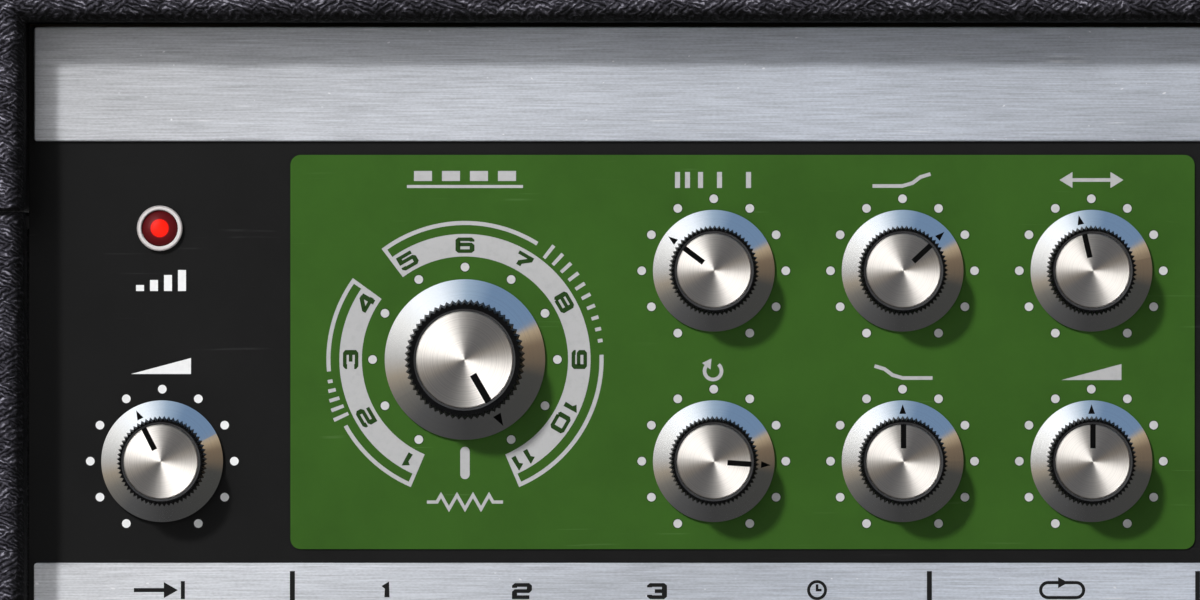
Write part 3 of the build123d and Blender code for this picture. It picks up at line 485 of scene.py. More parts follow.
def metal(name, colour, roughness, grain, metallic=1.0):
    material, tree, shader = new_material(name)
    wear = noise(tree, place(tree), 240.0, 5.0, 0.6)
    feed(tree, shader, {
        "Base Color": ramp(tree, wear, [(0.3, tint(colour, 1 - grain)), (0.65, colour)]),
        "Roughness": remap(tree, wear, 0.3, 0.7, roughness + 0.08, roughness - 0.05),
        "Metallic": metallic,
    })
    return material


def plastic(name, colour, roughness, texture=0.03, specular=0.4):
    material, tree, shader = new_material(name)
    grain = noise(tree, place(tree), 1400.0, 3.0, 0.6)
    cloud = noise(tree, place(tree), 120.0, 3.0, 0.6)
    feed(tree, shader, {
        "Base Color": ramp(tree, cloud, [(0.3, tint(colour, 0.8)), (0.7, tint(colour, 1.25))]),
        "Roughness": remap(tree, grain, 0.3, 0.7, roughness - 0.06, roughness + 0.08),
        "Specular IOR Level": specular,
        "Normal": bump(tree, grain, texture * MM, 0.4),
    })
    return material


def ink(name, colour, wear):
    """Screen-printed ink, slightly worn."""
    material, tree, shader = new_material(name)
    rub = noise(tree, place(tree), 520.0, 5.0, 0.7)
    feed(tree, shader, {
        "Base Color": ramp(tree, rub, [(0.34, tint(colour, 1 - wear)), (0.52, colour)]),
        "Roughness": remap(tree, rub, 0.3, 0.7, 0.62, 0.5),
        "Specular IOR Level": 0.1,
    })
    return material


def lamp_glow(name, core, surround, strength):
    """Red lens: bright in the middle when it is lit, deep red round it."""
    material, tree, shader = new_material(name)
    at = axes(tree, place(tree))
    share = remap(tree, off_middle(tree, at["X"], at["Y"]), 0.0, GLOW_R)
    tone = ramp(tree, share, [(0.0, core), (0.42, core), (0.52, surround), (1.0, tint(surround, 0.6))])
    glow = ramp(tree, share, [(0.0, grey(1.0)), (0.42, grey(0.8)), (0.52, grey(0.1)), (1.0, grey(0.05))])
    feed(tree, shader, {
        "Base Color": tone,
        "Emission Color": tone,
        "Emission Strength": product(tree, glow, strength),
        "Roughness": 0.25,
        "Specular IOR Level": 0.12,
    })
    return material


def clear_acrylic():
    material, tree, shader = new_material("clear_acrylic")
    dust = noise(tree, place(tree), 700.0, 5.0, 0.7)
    feed(tree, shader, {
        "Base Color": (0.93, 0.95, 0.95),
        "Roughness": remap(tree, dust, 0.5, 0.75, 0.04, 0.16),
        "Transmission Weight": 1.0,
        "IOR": 1.49,
    })
    return material


def make_materials():
    green = (0.0352, 0.1, 0.0128)
    return {
        "leather": leatherette(),
        "black_paint": satin_paint("black_paint", grey(0.0098), 0.55, 0.14, grey(0.035), 0.07),
        "green_paint": satin_paint("green_paint", green, 0.55, 0.10, (0.09, 0.18, 0.05), 0.07),
        "strip": brushed_aluminium("brushed_aluminium", (0.528, 0.537, 0.589), 0.45, 0.3),
        # Painted light: the bottom strip is the same aluminium, painted lighter where more light falls on
        # it.
        "low_strip_painted_lighter": brushed_aluminium("brushed_aluminium_low_painted_lighter", (0.605, 0.615, 0.672), 0.45, 0.3),
        "skirt": turned_metal("polished_skirt", (0.86, 0.86, 0.87), 0.12, 0.3, 130.0, 0.95),
        "cap": turned_metal("spun_cap", (0.92, 0.872, 0.82), 0.35, 0.97, 80.0, 0.85),
        "grip": plastic("grip_plastic", (0.0025, 0.0025, 0.0028), 0.42, 0.02, 0.04),
        # painted highlight: the grip's edge round the cap is a lighter copy of the grip's black
        "grip_edge_painted_highlight": plastic("grip_edge_painted_highlight", (0.04, 0.04, 0.042), 0.4, 0.02, 0.2),
        "mark": plastic("mark_paint", grey(0.003), 0.6, 0.03, 0.03),
        "plated": metal("plated_steel", (0.6, 0.6, 0.61), 0.26, 0.08),
        "steel": metal("dull_steel", (0.46, 0.46, 0.47), 0.42, 0.25),
        "brass": metal("brass", (0.62, 0.45, 0.2), 0.35, 0.2),
        "copper": plastic("copper_winding", (0.33, 0.1, 0.035), 0.4),
        "sleeve": plastic("capacitor_sleeve", (0.02, 0.035, 0.09), 0.35),
        "bezel": metal("lamp_bezel", (0.72, 0.67, 0.66), 0.38, 0.08, 0.45),
        "black_plastic": plastic("black_plastic", (0.02, 0.02, 0.021), 0.46),
        "clear": clear_acrylic(),
        "tape": plastic("tape_oxide", (0.09, 0.042, 0.022), 0.3),
        "rubber": plastic("black_rubber", grey(0.016), 0.75, 0.06),
        "board": plastic("bare_board", (0.25, 0.17, 0.055), 0.5),
        "deck": satin_paint("deck_paint", (0.26, 0.27, 0.28), 0.45, 0.06, grey(0.5)),
        "white_ink": ink("white_ink", grey(0.86), 0.06),
        "grey_ink": ink("grey_ink", (0.46, 0.458, 0.46), 0.07),
        "dot_ink": ink("dot_ink", (0.58, 0.578, 0.58), 0.1),
        "green_ink": ink("green_ink", (0.016, 0.046, 0.008), 0.05),
        "black_ink": ink("black_ink", grey(0.01), 0.0),
        "lit": lamp_glow("lamp_lit", (0.88, 0.009, 0.003), (0.11, 0.007, 0.009), 0.9),
        "unlit": lamp_glow("lamp_unlit", (0.2, 0.012, 0.012), (0.11, 0.007, 0.009), 0.1),
    }


MATERIALS = make_materials()
MATERIAL_NODES = {
    "leather": ["cabinet_shell", "lid"],
    "black_paint": ["front_panel", "rear_panel"],
    "green_paint": ["green_plate"],
    "strip": ["top_strip"],
    # the bottom strip gets the copy of the aluminium that is painted lighter
    "low_strip_painted_lighter": ["bottom_strip"],
    "plated": [
        "lid_hinge_leaves", "case_hinge_leaves", "toggle_bodies", "tape_heads", "tape_guides",
        "jack_sockets", "capstan", "pinch_arm", "input_send_toggle", "tempo_sync_toggle",
        "tape_loop_toggle", "power_toggle",
    ],
    "steel": ["hinge_pins", "pot_bodies", "rotary_switch", "motor", "transformer", "reverb_tank"],
    "brass": ["motor_pulley"],
    "bezel": ["lamp_bezels"],
    "unlit": ["lamp_lenses"],
    "black_plastic": ["mains_inlet"],
    "clear": ["tank_cover"],
    "tape": ["tape_loop"],
    "rubber": ["feet", "drive_belt", "pinch_roller"],
    "board": ["circuit_board"],
    "deck": ["deck_plate"],
}
for knob_part in ("skirt", "grip", "cap"):
    MATERIAL_NODES[knob_part] = [f"{name}_{knob_part}" for name in KNOB_NAMES]


def paint_faces(name, key, chosen):
    """Gives the faces whose middle chosen(middle) picks another material."""
    data = NODES[name].data
    data.materials.append(MATERIALS[key])
    for face in data.polygons:
        if chosen(face.center):
            face.material_index = len(data.materials) - 1


def middle_of(name):
    low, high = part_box(name)
    return (low + high) / 2


def knob_centre(name):
    """A knob's axis on the panel, across and up."""
    middle = middle_of(f"{name}_skirt")
    return middle.x, middle.z


def paint_marks(name):
    """Black paint in the groove of a knob's cap, and a painted highlight on the edge of its grip round the
    cap.
    """
    low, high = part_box(f"{name}_cap")
    middle = middle_of(f"{name}_cap")
    cap_r = (high.x - low.x) / 2
    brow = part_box(f"{name}_grip")[0].y

    def off_axis(at):
        return math.hypot(at.x - middle.x, at.z - middle.z)

    def in_groove(at):
        return GROOVE_TOP < at.y - low.y < GROOVE_LOW and off_axis(at) < cap_r - GROOVE_END

    def on_recess_edge(at):
        return RECESS_TOP < at.y - brow < RECESS_CHAMFER and off_axis(at) < cap_r + RECESS_CHAMFER

    paint_faces(f"{name}_cap", "mark", in_groove)
    paint_faces(f"{name}_grip", "grip_edge_painted_highlight", on_recess_edge)


def paint_inner_pieces():
    low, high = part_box("transformer")
    front = low.y + COIL_BULGE - CLEAR
    rear = high.y - COIL_BULGE + CLEAR
    paint_faces("transformer", "copper", lambda at: not front < at.y < rear)
    board_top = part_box("circuit_board")[0].z + BOARD_LEVEL + CLEAR
    can_row = middle_of("circuit_board").y - CAN_R - 1 * MM
    paint_faces("circuit_board", "sleeve", lambda at: at.z > board_top and at.y > can_row)
    paint_faces("circuit_board", "black_plastic", lambda at: at.z > board_top and at.y < can_row)
    paint_faces("tape_heads", "brass", lambda at: at.z < DECK_TOP + HEAD_FOOT + CLEAR)
    paint_faces("toggle_bodies", "black_plastic", lambda at: at.y > FIELD_Y)
    low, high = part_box("mains_inlet")
    middle = middle_of("mains_inlet")

    def on_pin(at):
        off_pin = min(abs(at.x - middle.x - k * PIN_SPREAD) for k in (-1, 0, 1))
        deep = low.y + PIN_FLOOR < at.y < high.y - 1 * MM
        return off_pin < PIN_HALF and abs(at.z - middle.z) < PIN_REACH and deep

    paint_faces("mains_inlet", "plated", on_pin)


def paint_frame():
    for key, names in MATERIAL_NODES.items():
        for name in names:
            NODES[name].data.materials.clear()
            NODES[name].data.materials.append(MATERIALS[key])
    for name in KNOB_NAMES:
        paint_marks(name)
    paint_inner_pieces()


# Flat prints on the panel: outlines are lists of (across, up) points in metres

def photo_point(px, py):
    return (px - PHOTO_MIDDLE_X) * PX, PANEL_TOP - (py - PHOTO_PANEL_TOP) * PX


def face_along_y(made, facing):
    for face in made.faces:
        face.normal_update()
        if face.normal.y * facing < 0:
            face.normal_flip()


def thicken(sheet, step):
    """Makes flat faces into closed plates, step along Y from where they lie."""
    raised = bmesh.ops.extrude_face_region(sheet, geom=list(sheet.faces))
    moved = [part for part in raised["geom"] if isinstance(part, bmesh.types.BMVert)]
    bmesh.ops.translate(sheet, verts=moved, vec=(0, step, 0))
    bmesh.ops.recalc_face_normals(sheet, faces=list(sheet.faces))


def new_object(name, data):
    obj = bpy.data.objects.new(name, data)
    bpy.context.scene.collection.objects.link(obj)
    return obj


def add_piece(name, made, key, body, at=Matrix.Identity(4)):
    """Turns drawn geometry into a piece that is put in place and rides on a body."""
    mesh = bpy.data.meshes.new(name)
    made.to_mesh(mesh)
    made.free()
    mesh.materials.append(MATERIALS[key])
    obj = new_object(name, mesh)
    obj.matrix_world = at
    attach(obj, body)
    return obj


def print_piece(name, layers, y, key, facing=-1):
    """Thin ink; each layer is a list of outlines that don't overlap, and ends just over the one before."""
    made = bmesh.new()
    layer_mesh = bpy.data.meshes.new(f"{name}_layer")
    for i, outlines in enumerate(layers):
        sheet = bmesh.new()
        for outline in outlines:
            sheet.faces.new([sheet.verts.new((x, y + facing * INK_FOOT, z)) for x, z in outline])
        bmesh.ops.remove_doubles(sheet, verts=list(sheet.verts), dist=0.001 * MM)
        bmesh.ops.triangulate(sheet, faces=[f for f in sheet.faces if len(f.verts) > 4])
        face_along_y(sheet, facing)
        thicken(sheet, facing * (INK + i * LAYER - INK_FOOT))
        sheet.to_mesh(layer_mesh)
        sheet.free()
        made.from_mesh(layer_mesh)
    bpy.data.meshes.remove(layer_mesh)
    add_piece(name, made, key, "case")


def polar(middle, radius, angle):
    """Angle clockwise from straight up."""
    a = math.radians(angle)
    return middle[0] + radius * math.sin(a), middle[1] + radius * math.cos(a)


def disc(middle, radius):
    return [polar(middle, radius, -360 * i / DOT_SIDES) for i in range(DOT_SIDES)]


def arc_points(radius, start, end, steps=24, middle=(0, 0)):
    return [polar(middle, radius, start + (end - start) * i / steps) for i in range(steps + 1)]


def band(middle, inner, outer, start, end):
    """Four-sided pieces of a ring between two angles, about three degrees each."""
    count = max(2, round(abs(end - start) / 3.0))
    angles = [start + (end - start) * i / count for i in range(count + 1)]
    return [
        [polar(middle, inner, a), polar(middle, outer, a), polar(middle, outer, b), polar(middle, inner, b)]
        for a, b in zip(angles, angles[1:])
    ]


def bar(x0, z0, x1, z1):
    return [(x0, z0), (x1, z0), (x1, z1), (x0, z1)]


def stroke(points, width, closed=False, round_ends=False):
    """A drawn line, as four-sided pieces that meet at mitres."""
    count = len(points)
    sides = []
    for i, (x, z) in enumerate(points):
        before = points[i - 1] if i or closed else None
        after = points[(i + 1) % count] if i < count - 1 or closed else None
        normals = []
        for a, b in ((before, (x, z)), ((x, z), after)):
            if a is None or b is None:
                continue
            length = math.hypot(b[0] - a[0], b[1] - a[1])
            normals.append((-(b[1] - a[1]) / length, (b[0] - a[0]) / length))
        nx = sum(n[0] for n in normals)
        nz = sum(n[1] for n in normals)
        size = math.hypot(nx, nz)
        nx, nz = nx / size, nz / size
        reach = width / 2 / max(0.5, nx * normals[0][0] + nz * normals[0][1])
        sides.append(((x + nx * reach, z + nz * reach), (x - nx * reach, z - nz * reach)))
    made = []
    for i in range(count if closed else count - 1):
        (a, b), (c, d) = sides[i], sides[(i + 1) % count]
        made.append([a, b, d, c])
    if round_ends:
        for (x, z), (inner_x, inner_z) in ((points[0], points[1]), (points[-1], points[-2])):
            out = math.degrees(math.atan2(x - inner_x, z - inner_z))
            made.append([polar((x, z), width / 2, out - 90 + 15 * k) for k in range(13)])
    return made


def set_at(outlines, middle, turn=0.0):
    """Drawn outlines, in photograph pixels, put at a place on the panel and turned clockwise."""
    c, s = math.cos(math.radians(turn)), math.sin(math.radians(turn))
    return [
        [(middle[0] + (x * c + z * s) * PX, middle[1] + (z * c - x * s) * PX) for x, z in outline]
        for outline in outlines
    ]


# Square-shouldered numerals on a grid one wide and one high; a second line lies over the first
ROUND = [(0.1, 0), (0, 0.1), (0, 0.9), (0.1, 1), (0.9, 1), (1, 0.9), (1, 0.1), (0.9, 0), (0.1, 0)]
NUMERALS = {
    "0": [ROUND],
    "1": [[(0.25, 0.8), (0.5, 1), (0.5, 0)]],
    "2": [[(0, 0.76), (0, 0.9), (0.1, 1), (0.9, 1), (1, 0.9), (1, 0.62), (0.9, 0.5), (0.1, 0.5), (0, 0.4),
           (0, 0), (1, 0)]],
    "3": [[(0, 0.8), (0, 0.9), (0.1, 1), (0.9, 1), (1, 0.9), (1, 0.1), (0.9, 0), (0.1, 0), (0, 0.1),
           (0, 0.2)],
          [(0.35, 0.5), (1, 0.5)]],
    "4": [[(1, 0.24), (0, 0.24), (0, 0.36), (0.6, 1), (0.78, 1)], [(0.78, 1.1), (0.78, -0.1)]],
    "5": [[(1, 1), (0, 1), (0, 0.58), (0.9, 0.58), (1, 0.48), (1, 0.1), (0.9, 0), (0.1, 0), (0, 0.1),
           (0, 0.2)]],
    "6": [[(1, 0.8), (1, 0.9), (0.9, 1), (0.1, 1), (0, 0.9), (0, 0.1), (0.1, 0), (0.9, 0), (1, 0.1),
           (1, 0.46), (0.9, 0.56), (0.1, 0.56)]],
    "7": [[(0, 1), (1, 1), (1, 0.84), (0.42, 0.3), (0.42, 0)]],
    "8": [ROUND, [(0, 0.52), (1, 0.52)]],
}
NUMERALS["9"] = [[(1 - x, 1 - z) for x, z in line] for line in NUMERALS["6"]]
ONE_WIDE = 0.5  # a 1 beside another figure takes this share of a figure's width
UPRIGHT = 1.35  # upright lines are this much thicker than level ones
SELECTOR_NUMBER = (15.4, 19.0, 3.6, 4.0)  # height, width, line and gap, in photograph pixels
STRIP_NUMBER = (16, 20, 3.8, 3)


def numeral(text, high, wide, thick, gap):
    """Two layers of outlines of a number, centred on the origin, in photograph pixels."""
    heavy = UPRIGHT * thick
    widths = [wide * (ONE_WIDE if len(text) > 1 and figure == "1" else 1.0) for figure in text]
    left = -(sum(widths) + gap * (len(text) - 1)) / 2
    layers = [[], []]
    for figure, taken in zip(text, widths):
        start = left - (wide - taken) / 2 + heavy / 2
        for layer, line in zip(layers, NUMERALS[figure]):
            across = [(start + x * (wide - heavy)) / UPRIGHT for x, _ in line]
            up = [(z - 0.5) * (high - thick) for _, z in line]
            for outline in stroke(list(zip(across, up)), thick):
                layer.append([(x * UPRIGHT, z) for x, z in outline])
        left += taken + gap
    return layers


# Generic signs that stand where a panel has its captions: layers in photograph pixels about their middle
SIGN_LINE = 3.6
CURVE = [(0, -6), (10, -3), (18, 3), (28, 6)]
COILS = [(8 * i - 24, 7 if i % 2 == 0 else -7) for i in range(7)]
LOOP = arc_points(7.5, 180, 360, 14, (-14, 0)) + arc_points(7.5, 0, 180, 14, (14, 0))
SIGNS = {
    "wedge": [[[(-30, -8), (30, -8), (30, 8)]]],
    "level": [[bar(x, -10, x + 8, h - 10) for x, h in ((-24, 6), (-10, 11), (4, 16), (18, 21))]],
    "heads": [[bar(-58, -9, 58, -6)] + [bar(x - 9, -2, x + 9, 8) for x in (-42, -14, 14, 42)]],
    "rate": [[bar(x, -8, x + 5, 8) for x in (-38, -28, -15, 4, 33)]],
    "loop": [stroke(arc_points(8.5, 40, 320), SIGN_LINE), [[(-11, 8), (-1.5, 12.5), (-2.5, 1.5)]]],
    "treble": [stroke([(-30, -6)] + CURVE, SIGN_LINE)],
    "bass": [stroke([(-x, z) for x, z in reversed(CURVE)] + [(30, -6)], SIGN_LINE)],
    "pan": [[[(-32, 0), (-19, -8), (-19, 8)], [(32, 0), (19, 8), (19, -8)], bar(-19, -1.8, 19, 1.8)]],
    "spring": [stroke([(-38, 0), (-28, 0)] + COILS + [(28, 0), (38, 0)], 3.2)],
    "send": [[bar(-26, -2, 4, 2), [(4, -8), (18, 0), (4, 8)], bar(21, -9, 25, 9)]],
    "tempo": [stroke(arc_points(8.5, 0, 348, 29), 3.0, True) + stroke([(0, 5.8), (0, 0), (4.5, 0)], 2.6)],
    "tape_loop": [stroke(LOOP, 3.2, True), [[(-4, 2), (6, 7.5), (-4, 13)]]],
}


def print_drawing(name, drawn, spot, y, key):
    """Prints layers that are drawn about the origin at a spot of the photograph."""
    print_piece(name, [set_at(outlines, photo_point(*spot)) for outlines in drawn], y, key)


def print_captions():
    captions = {
        ("grey_ink", GREEN_Y): {
            "head_caption": ("heads", 465, 179),
            "rate_caption": ("rate", 713, 180),
            "treble_caption": ("treble", 902.5, 180),
            "pan_caption": ("pan", 1091.4, 180),
            "feedback_caption": ("loop", 713, 371),
            "bass_caption": ("bass", 902.5, 372),
            "echo_volume_caption": ("wedge", 1091.4, 372),
            "reverb_caption": ("spring", 465, 502),
        },
        ("white_ink", FIELD_Y): {
            "input_caption": ("wedge", 161, 366),
            "peak_caption": ("level", 160, 281),
        },
        ("black_ink", STRIP_Y): {
            "send_caption": ("send", 160, 590),
            "tempo_caption": ("tempo", 817, 590),
            "loop_caption": ("tape_loop", 1062, 590),
        },
    }
    for (key, y), group in captions.items():
        for name, (sign, *spot) in group.items():
            print_drawing(name, SIGNS[sign], spot, y, key)


def print_bottom_strip():
    """Numbers over the heads' lamps, and lines between the groups of switches."""
    for i, spot in enumerate(HEAD_NUMBERS):
        drawn = numeral(str(i + 1), *STRIP_NUMBER)
        print_drawing(f"head_number_{i + 1}", drawn, spot, STRIP_Y, "black_ink")
    dividers = []
    for px in DIVIDERS_X:
        x, top = photo_point(px, DIVIDER_TOP)
        dividers.append(bar(x - DIVIDER_HALF, PANEL_LOW + DIVIDER_FOOT, x + DIVIDER_HALF, top))
    print_piece("strip_dividers", [dividers], STRIP_Y, "black_ink")


def print_dots():
    """Eleven dots round each knob; those on the green plate have a dark edge."""
    on_green = []
    on_black = []
    for name in KNOB_NAMES:
        ring = LARGE_DOTS_R if name == "head_select" else DOTS_R
        spots = on_black if name == "input_volume" else on_green
        spots += [polar(knob_centre(name), ring, angle) for angle in DIAL_ANGLES]
    edges = [disc(spot, DOT_EDGE_R) for spot in on_green]
    print_piece("dial_dot_edges", [edges], GREEN_Y, "green_ink")
    print_piece("dial_dots_green", [[disc(spot, DOT_R) for spot in on_green]], GREEN_Y - INK, "dot_ink")
    print_piece("dial_dots_black", [[disc(spot, DOT_R) for spot in on_black]], FIELD_Y, "white_ink")


def fading_marks(middle, angle, count, pitch):
    """Short bars that fade along the arc, in the gap of the outline."""
    made = []
    for i in range(count):
        a = angle + (i - (count - 1) / 2) * pitch
        half = MARK_HALF * (1 - MARK_FADE * i / (count - 1))
        made += band(middle, MARKS_R - half, MARKS_R + half, a - MARK_TURN, a + MARK_TURN)
    return made


def print_selector():
    """A broad band in two parts with an outline that opens for the fading marks, a tick and the numbers."""
    centre = knob_centre("head_select")
    outlines = []
    for start, end, gap in SCALE_PARTS:
        outlines += band(centre, SCALE_INNER, SCALE_OUTER, start, end)
        outlines += band(centre, LINE_INNER, LINE_OUTER, start, gap[0])
        outlines += band(centre, LINE_INNER, LINE_OUTER, gap[1], end)
        for a, inward in ((start, LINE_END), (end, -LINE_END)):
            outlines += band(centre, SCALE_OUTER + HAIR, LINE_INNER - HAIR, a, a + inward)
    for angle, count, pitch in MARKS:
        outlines += fading_marks(centre, angle, count, pitch)
    x, z = polar(centre, TICK_R, 180)
    outlines += stroke([(x, z + TICK_HALF), (x, z - TICK_HALF)], TICK_WIDE, round_ends=True)
    print_piece("selector_scale", [outlines], GREEN_Y, "grey_ink")
    numbers = [[], []]
    for i, angle in enumerate(DIAL_ANGLES):
        drawn = numeral(str(i + 1), *SELECTOR_NUMBER)
        for layer, figures in zip(numbers, drawn):
            layer += set_at(figures, polar(centre, NUMBERS_R, angle), angle)
    print_piece("selector_numbers", numbers, GREEN_Y - INK, "green_ink")


def print_power():
    """A line over the power lever and a ring under it."""
    low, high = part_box("power_toggle")
    x = (low.x + high.x) / 2
    foot, top = (high.z + rise for rise in POWER_LINE)
    line = bar(x - POWER_LINE_HALF, foot, x + POWER_LINE_HALF, top)
    ring = [polar((x, low.z - POWER_RING_DROP), POWER_RING_R, 12 * i) for i in range(30)]
    print_piece("power_marks", [[line] + stroke(ring, POWER_RING_LINE, True)], FIELD_Y, "white_ink")


def print_rear():
    """Arrows over the sockets: into the input, out of the output."""
    low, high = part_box("jack_sockets")
    foot = high.z + SOCKET_ARROW_RISE
    top = foot + SOCKET_ARROW_HIGH
    half = SOCKET_ARROW_HALF
    arrows = []
    for x, tip, base in ((low.x + JACK_NUT_R, foot, top), (high.x - JACK_NUT_R, top, foot)):
        arrows.append([(x - half, base), (x + half, base), (x, tip)])
    print_piece("socket_arrows", [arrows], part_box("rear_panel")[1].y, "white_ink", facing=1)


# Slotted screws

def turn_about(axis, degrees):
    return Matrix.Rotation(math.radians(degrees), 4, axis)


UPWARD = Matrix.Identity(4)
TO_REAR = turn_about("X", -90)


def half_moon(radius, slot):
    """One side of a slotted head, from one end of the slot round to the other."""
    start = math.asin(slot / 2 / radius)
    angles = [start + (math.pi - 2 * start) * i / MOON_STEPS for i in range(MOON_STEPS + 1)]
    return [(radius * math.cos(a), radius * math.sin(a)) for a in angles]


def close_rows(made, rows):
    """Walls from each row of points to the next, and a face over the first and the last."""
    for low, high in zip(rows, rows[1:]):
        for i in range(len(low)):
            j = (i + 1) % len(low)
            made.faces.new([low[i], low[j], high[j], high[i]])
    made.faces.new(rows[0])
    made.faces.new(rows[-1])


def slotted_head(made, at, radius):
    """A low domed head: two half moons with the slot's floor between them."""
    height = SCREW_HEIGHT * radius
    slot = SCREW_SLOT * radius
    for side in (1, -1):
        rows = []
        for share, rise in SCREW_DOME:
            outline = half_moon(share * radius, slot)
            rows.append([made.verts.new(at @ Vector((x, side * y, rise * height))) for x, y in outline])
        close_rows(made, rows)
    reach = SLOT_LENGTH * radius
    floor_rows = []
    for z in (0.0, SLOT_FLOOR * height):
        row = [Vector((x, y, z)) for x, y in bar(-reach, -slot / 2, reach, slot / 2)]
        floor_rows.append([made.verts.new(at @ point) for point in row])
    close_rows(made, floor_rows)


def screws(name, places, radius, facing, body, key):
    """Slotted screws at the given places, each slot turned a little further than the one before."""
    made = bmesh.new()
    for i, at in enumerate(places):
        slot_turn = turn_about("Z", SLOT_TURN + SLOT_STEP * i)
        slotted_head(made, Matrix.Translation(at) @ facing @ slot_turn, radius)
    bmesh.ops.recalc_face_normals(made, faces=list(made.faces))
    add_piece(name, made, key, body)


def inset_corners(low, high, up, inset):
    """The corners of a box, as (across, up) points that lie in from its edges."""
    return [
        (x, z)
        for x in (low.x + inset, high.x - inset)
        for z in (getattr(low, up) + inset, getattr(high, up) - inset)
    ]


def hinge_screws():
    face = SHELL_HIGH.y + HINGE_LEAF_T
    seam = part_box("lid")[0].z
    hinge_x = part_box("lid_hinge_leaves")[1].x - HINGE_HALF
    steps = (-HINGE_SCREW_STEP, HINGE_SCREW_STEP)
    across = [side * hinge_x + step for side in (-1, 1) for step in steps]
    for name, step, body in (("lid", HINGE_SCREW_STEP, "lid_body"), ("case", -HINGE_SCREW_STEP, "case")):
        places = [(x, face, seam + step) for x in across]
        screws(f"{name}_hinge_screws", places, SCREW_R["hinge"], TO_REAR, body, "steel")


def rear_screws():
    low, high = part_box("rear_panel")
    places = [(x, high.y, z) for x, z in inset_corners(low, high, "z", REAR_INSET)]
    screws("rear_plate_screws", places, SCREW_R["rear"], TO_REAR, "case", "plated")
    low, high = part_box("mains_inlet")
    middle_z = (low.z + high.z) / 2
    places = [(x, high.y, middle_z) for x in (low.x + INLET_INSET, high.x - INLET_INSET)]
    screws("inlet_screws", places, SCREW_R["inlet"], TO_REAR, "case", "plated")


def deck_screws():
    low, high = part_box("deck_plate")
    places = [(x, y, DECK_TOP) for x, y in inset_corners(low, high, "y", DECK_INSET)]
    screws("deck_screws", places, SCREW_R["deck"], UPWARD, "case", "plated")
    low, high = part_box("tape_heads")
    step = (high.x - low.x - HEAD_WIDE) / (HEAD_COUNT - 1)
    places = []
    for i in range(HEAD_COUNT):
        left = low.x + i * step
        for x in (left + HEAD_INSET, left + HEAD_WIDE - HEAD_INSET):
            places.append((x, high.y - HEAD_BACK, DECK_TOP + HEAD_FOOT))
    screws("head_screws", places, SCREW_R["head"], UPWARD, "case", "steel")


# Pointer arrows on the skirts

def skirt_arrow(name):
    low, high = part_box(f"{name}_skirt")
    rim = (high.x - low.x) / 2
    base, tip, half = LARGE_ARROW if name == "head_select" else ARROW
    made = bmesh.new()
    points = []
    for across, out in ((-half, base), (half, base), (0, tip)):
        radius = math.hypot(across, out)
        angle = POINTER[name] + math.degrees(math.atan2(across, out))
        x, z = polar(knob_centre(name), radius, angle)
        y = high.y - SKIRT_LIP - (rim - radius) * SKIRT_SLOPE
        points.append(made.verts.new((x, y, z)))
    made.faces.new(points)
    face_along_y(made, -1)
    thicken(made, -ARROW_T)
    add_piece(f"{name}_arrow", made, "mark", f"{name}_knob")


# Lamps

def ring_of_points(made, radius, z):
    """Points round the Z axis, or one point on it."""
    if radius < 1e-7:
        return [made.verts.new((0, 0, z))]
    angles = [2 * math.pi * i / LENS_SIDES for i in range(LENS_SIDES)]
    return [made.verts.new((radius * math.cos(a), radius * math.sin(a), z)) for a in angles]


def lathe(name, profile, key, at):
    """A turned piece of the case from (radius, height) points about its own Z; what faces up is smooth."""
    made = bmesh.new()
    rings = [ring_of_points(made, radius, z) for radius, z in profile]
    for a, b in zip(rings, rings[1:]):
        for i in range(LENS_SIDES):
            j = (i + 1) % LENS_SIDES
            sides = [a[i % len(a)], a[j % len(a)], b[j % len(b)], b[i % len(b)]]
            unique = list(dict.fromkeys(sides))
            if len(unique) > 2:
                made.faces.new(unique)
    bmesh.ops.recalc_face_normals(made, faces=list(made.faces))
    for face in made.faces:
        face.smooth = face.normal.z > 0
    return add_piece(name, made, key, "case", at)


def lens_profile():
    """A flat foot and a shallow dome."""
    profile = [(0.0, LENS_FOOT), (LENS_R, LENS_FOOT)]
    for i in range(1, LENS_RINGS + 1):
        r = LENS_R * (1 - i / LENS_RINGS)
        rise = LENS_RISE - LENS_BALL + math.sqrt(LENS_BALL * LENS_BALL - r * r)
        profile.append((r, LENS_FOOT + rise))
    return profile


def bezel_groups():
    """The points of each bezel, gathered by where they lie on the panel."""
    groups = {}
    for vertex in NODES["lamp_bezels"].data.vertices:
        at = vertex.co.copy()
        near = [k for k in groups if math.hypot(k[0] - at.x, k[1] - at.z) < BEZEL_REACH]
        key = near[0] if near else (at.x, at.z)
        groups.setdefault(key, []).append(at)
    return groups.values()


def lamp_lenses():
    """Domes in the bezels; the peak lamp and the pilot are lit."""
    lenses = []
    for points in bezel_groups():
        x = (min(p.x for p in points) + max(p.x for p in points)) / 2
        z = (min(p.z for p in points) + max(p.z for p in points)) / 2
        seat = min(p.y for p in points) + LENS_SUNK
        key = "lit" if z > middle_of("green_plate").z else "unlit"
        at = Matrix.Translation((x, seat, z)) @ turn_about("X", 90)
        lens = lathe(f"lamp_lens_{len(lenses) + 1}", lens_profile(), key, at)
        lenses.append(lens)
    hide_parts("lamp_lenses")


# Stage: floor, lights, reflections and camera

def pale_floor():
    mesh = bpy.data.meshes.new("floor")
    half = FLOOR_HALF
    mesh.from_pydata([(x, y, 0) for x, y in bar(-half, -half, half, half)], [], [(0, 1, 2, 3)])
    obj = new_object("floor", mesh)
    material, tree, shader = new_material("pale_floor")
    cloud = noise(tree, place(tree), 3.0, 3.0, 0.5)
    tone = ramp(tree, cloud, [(0.3, grey(0.74)), (0.7, grey(0.78))])
    feed(tree, shader, {"Base Color": tone, "Roughness": 0.9})
    mesh.materials.append(material)
    obj.visible_glossy = False


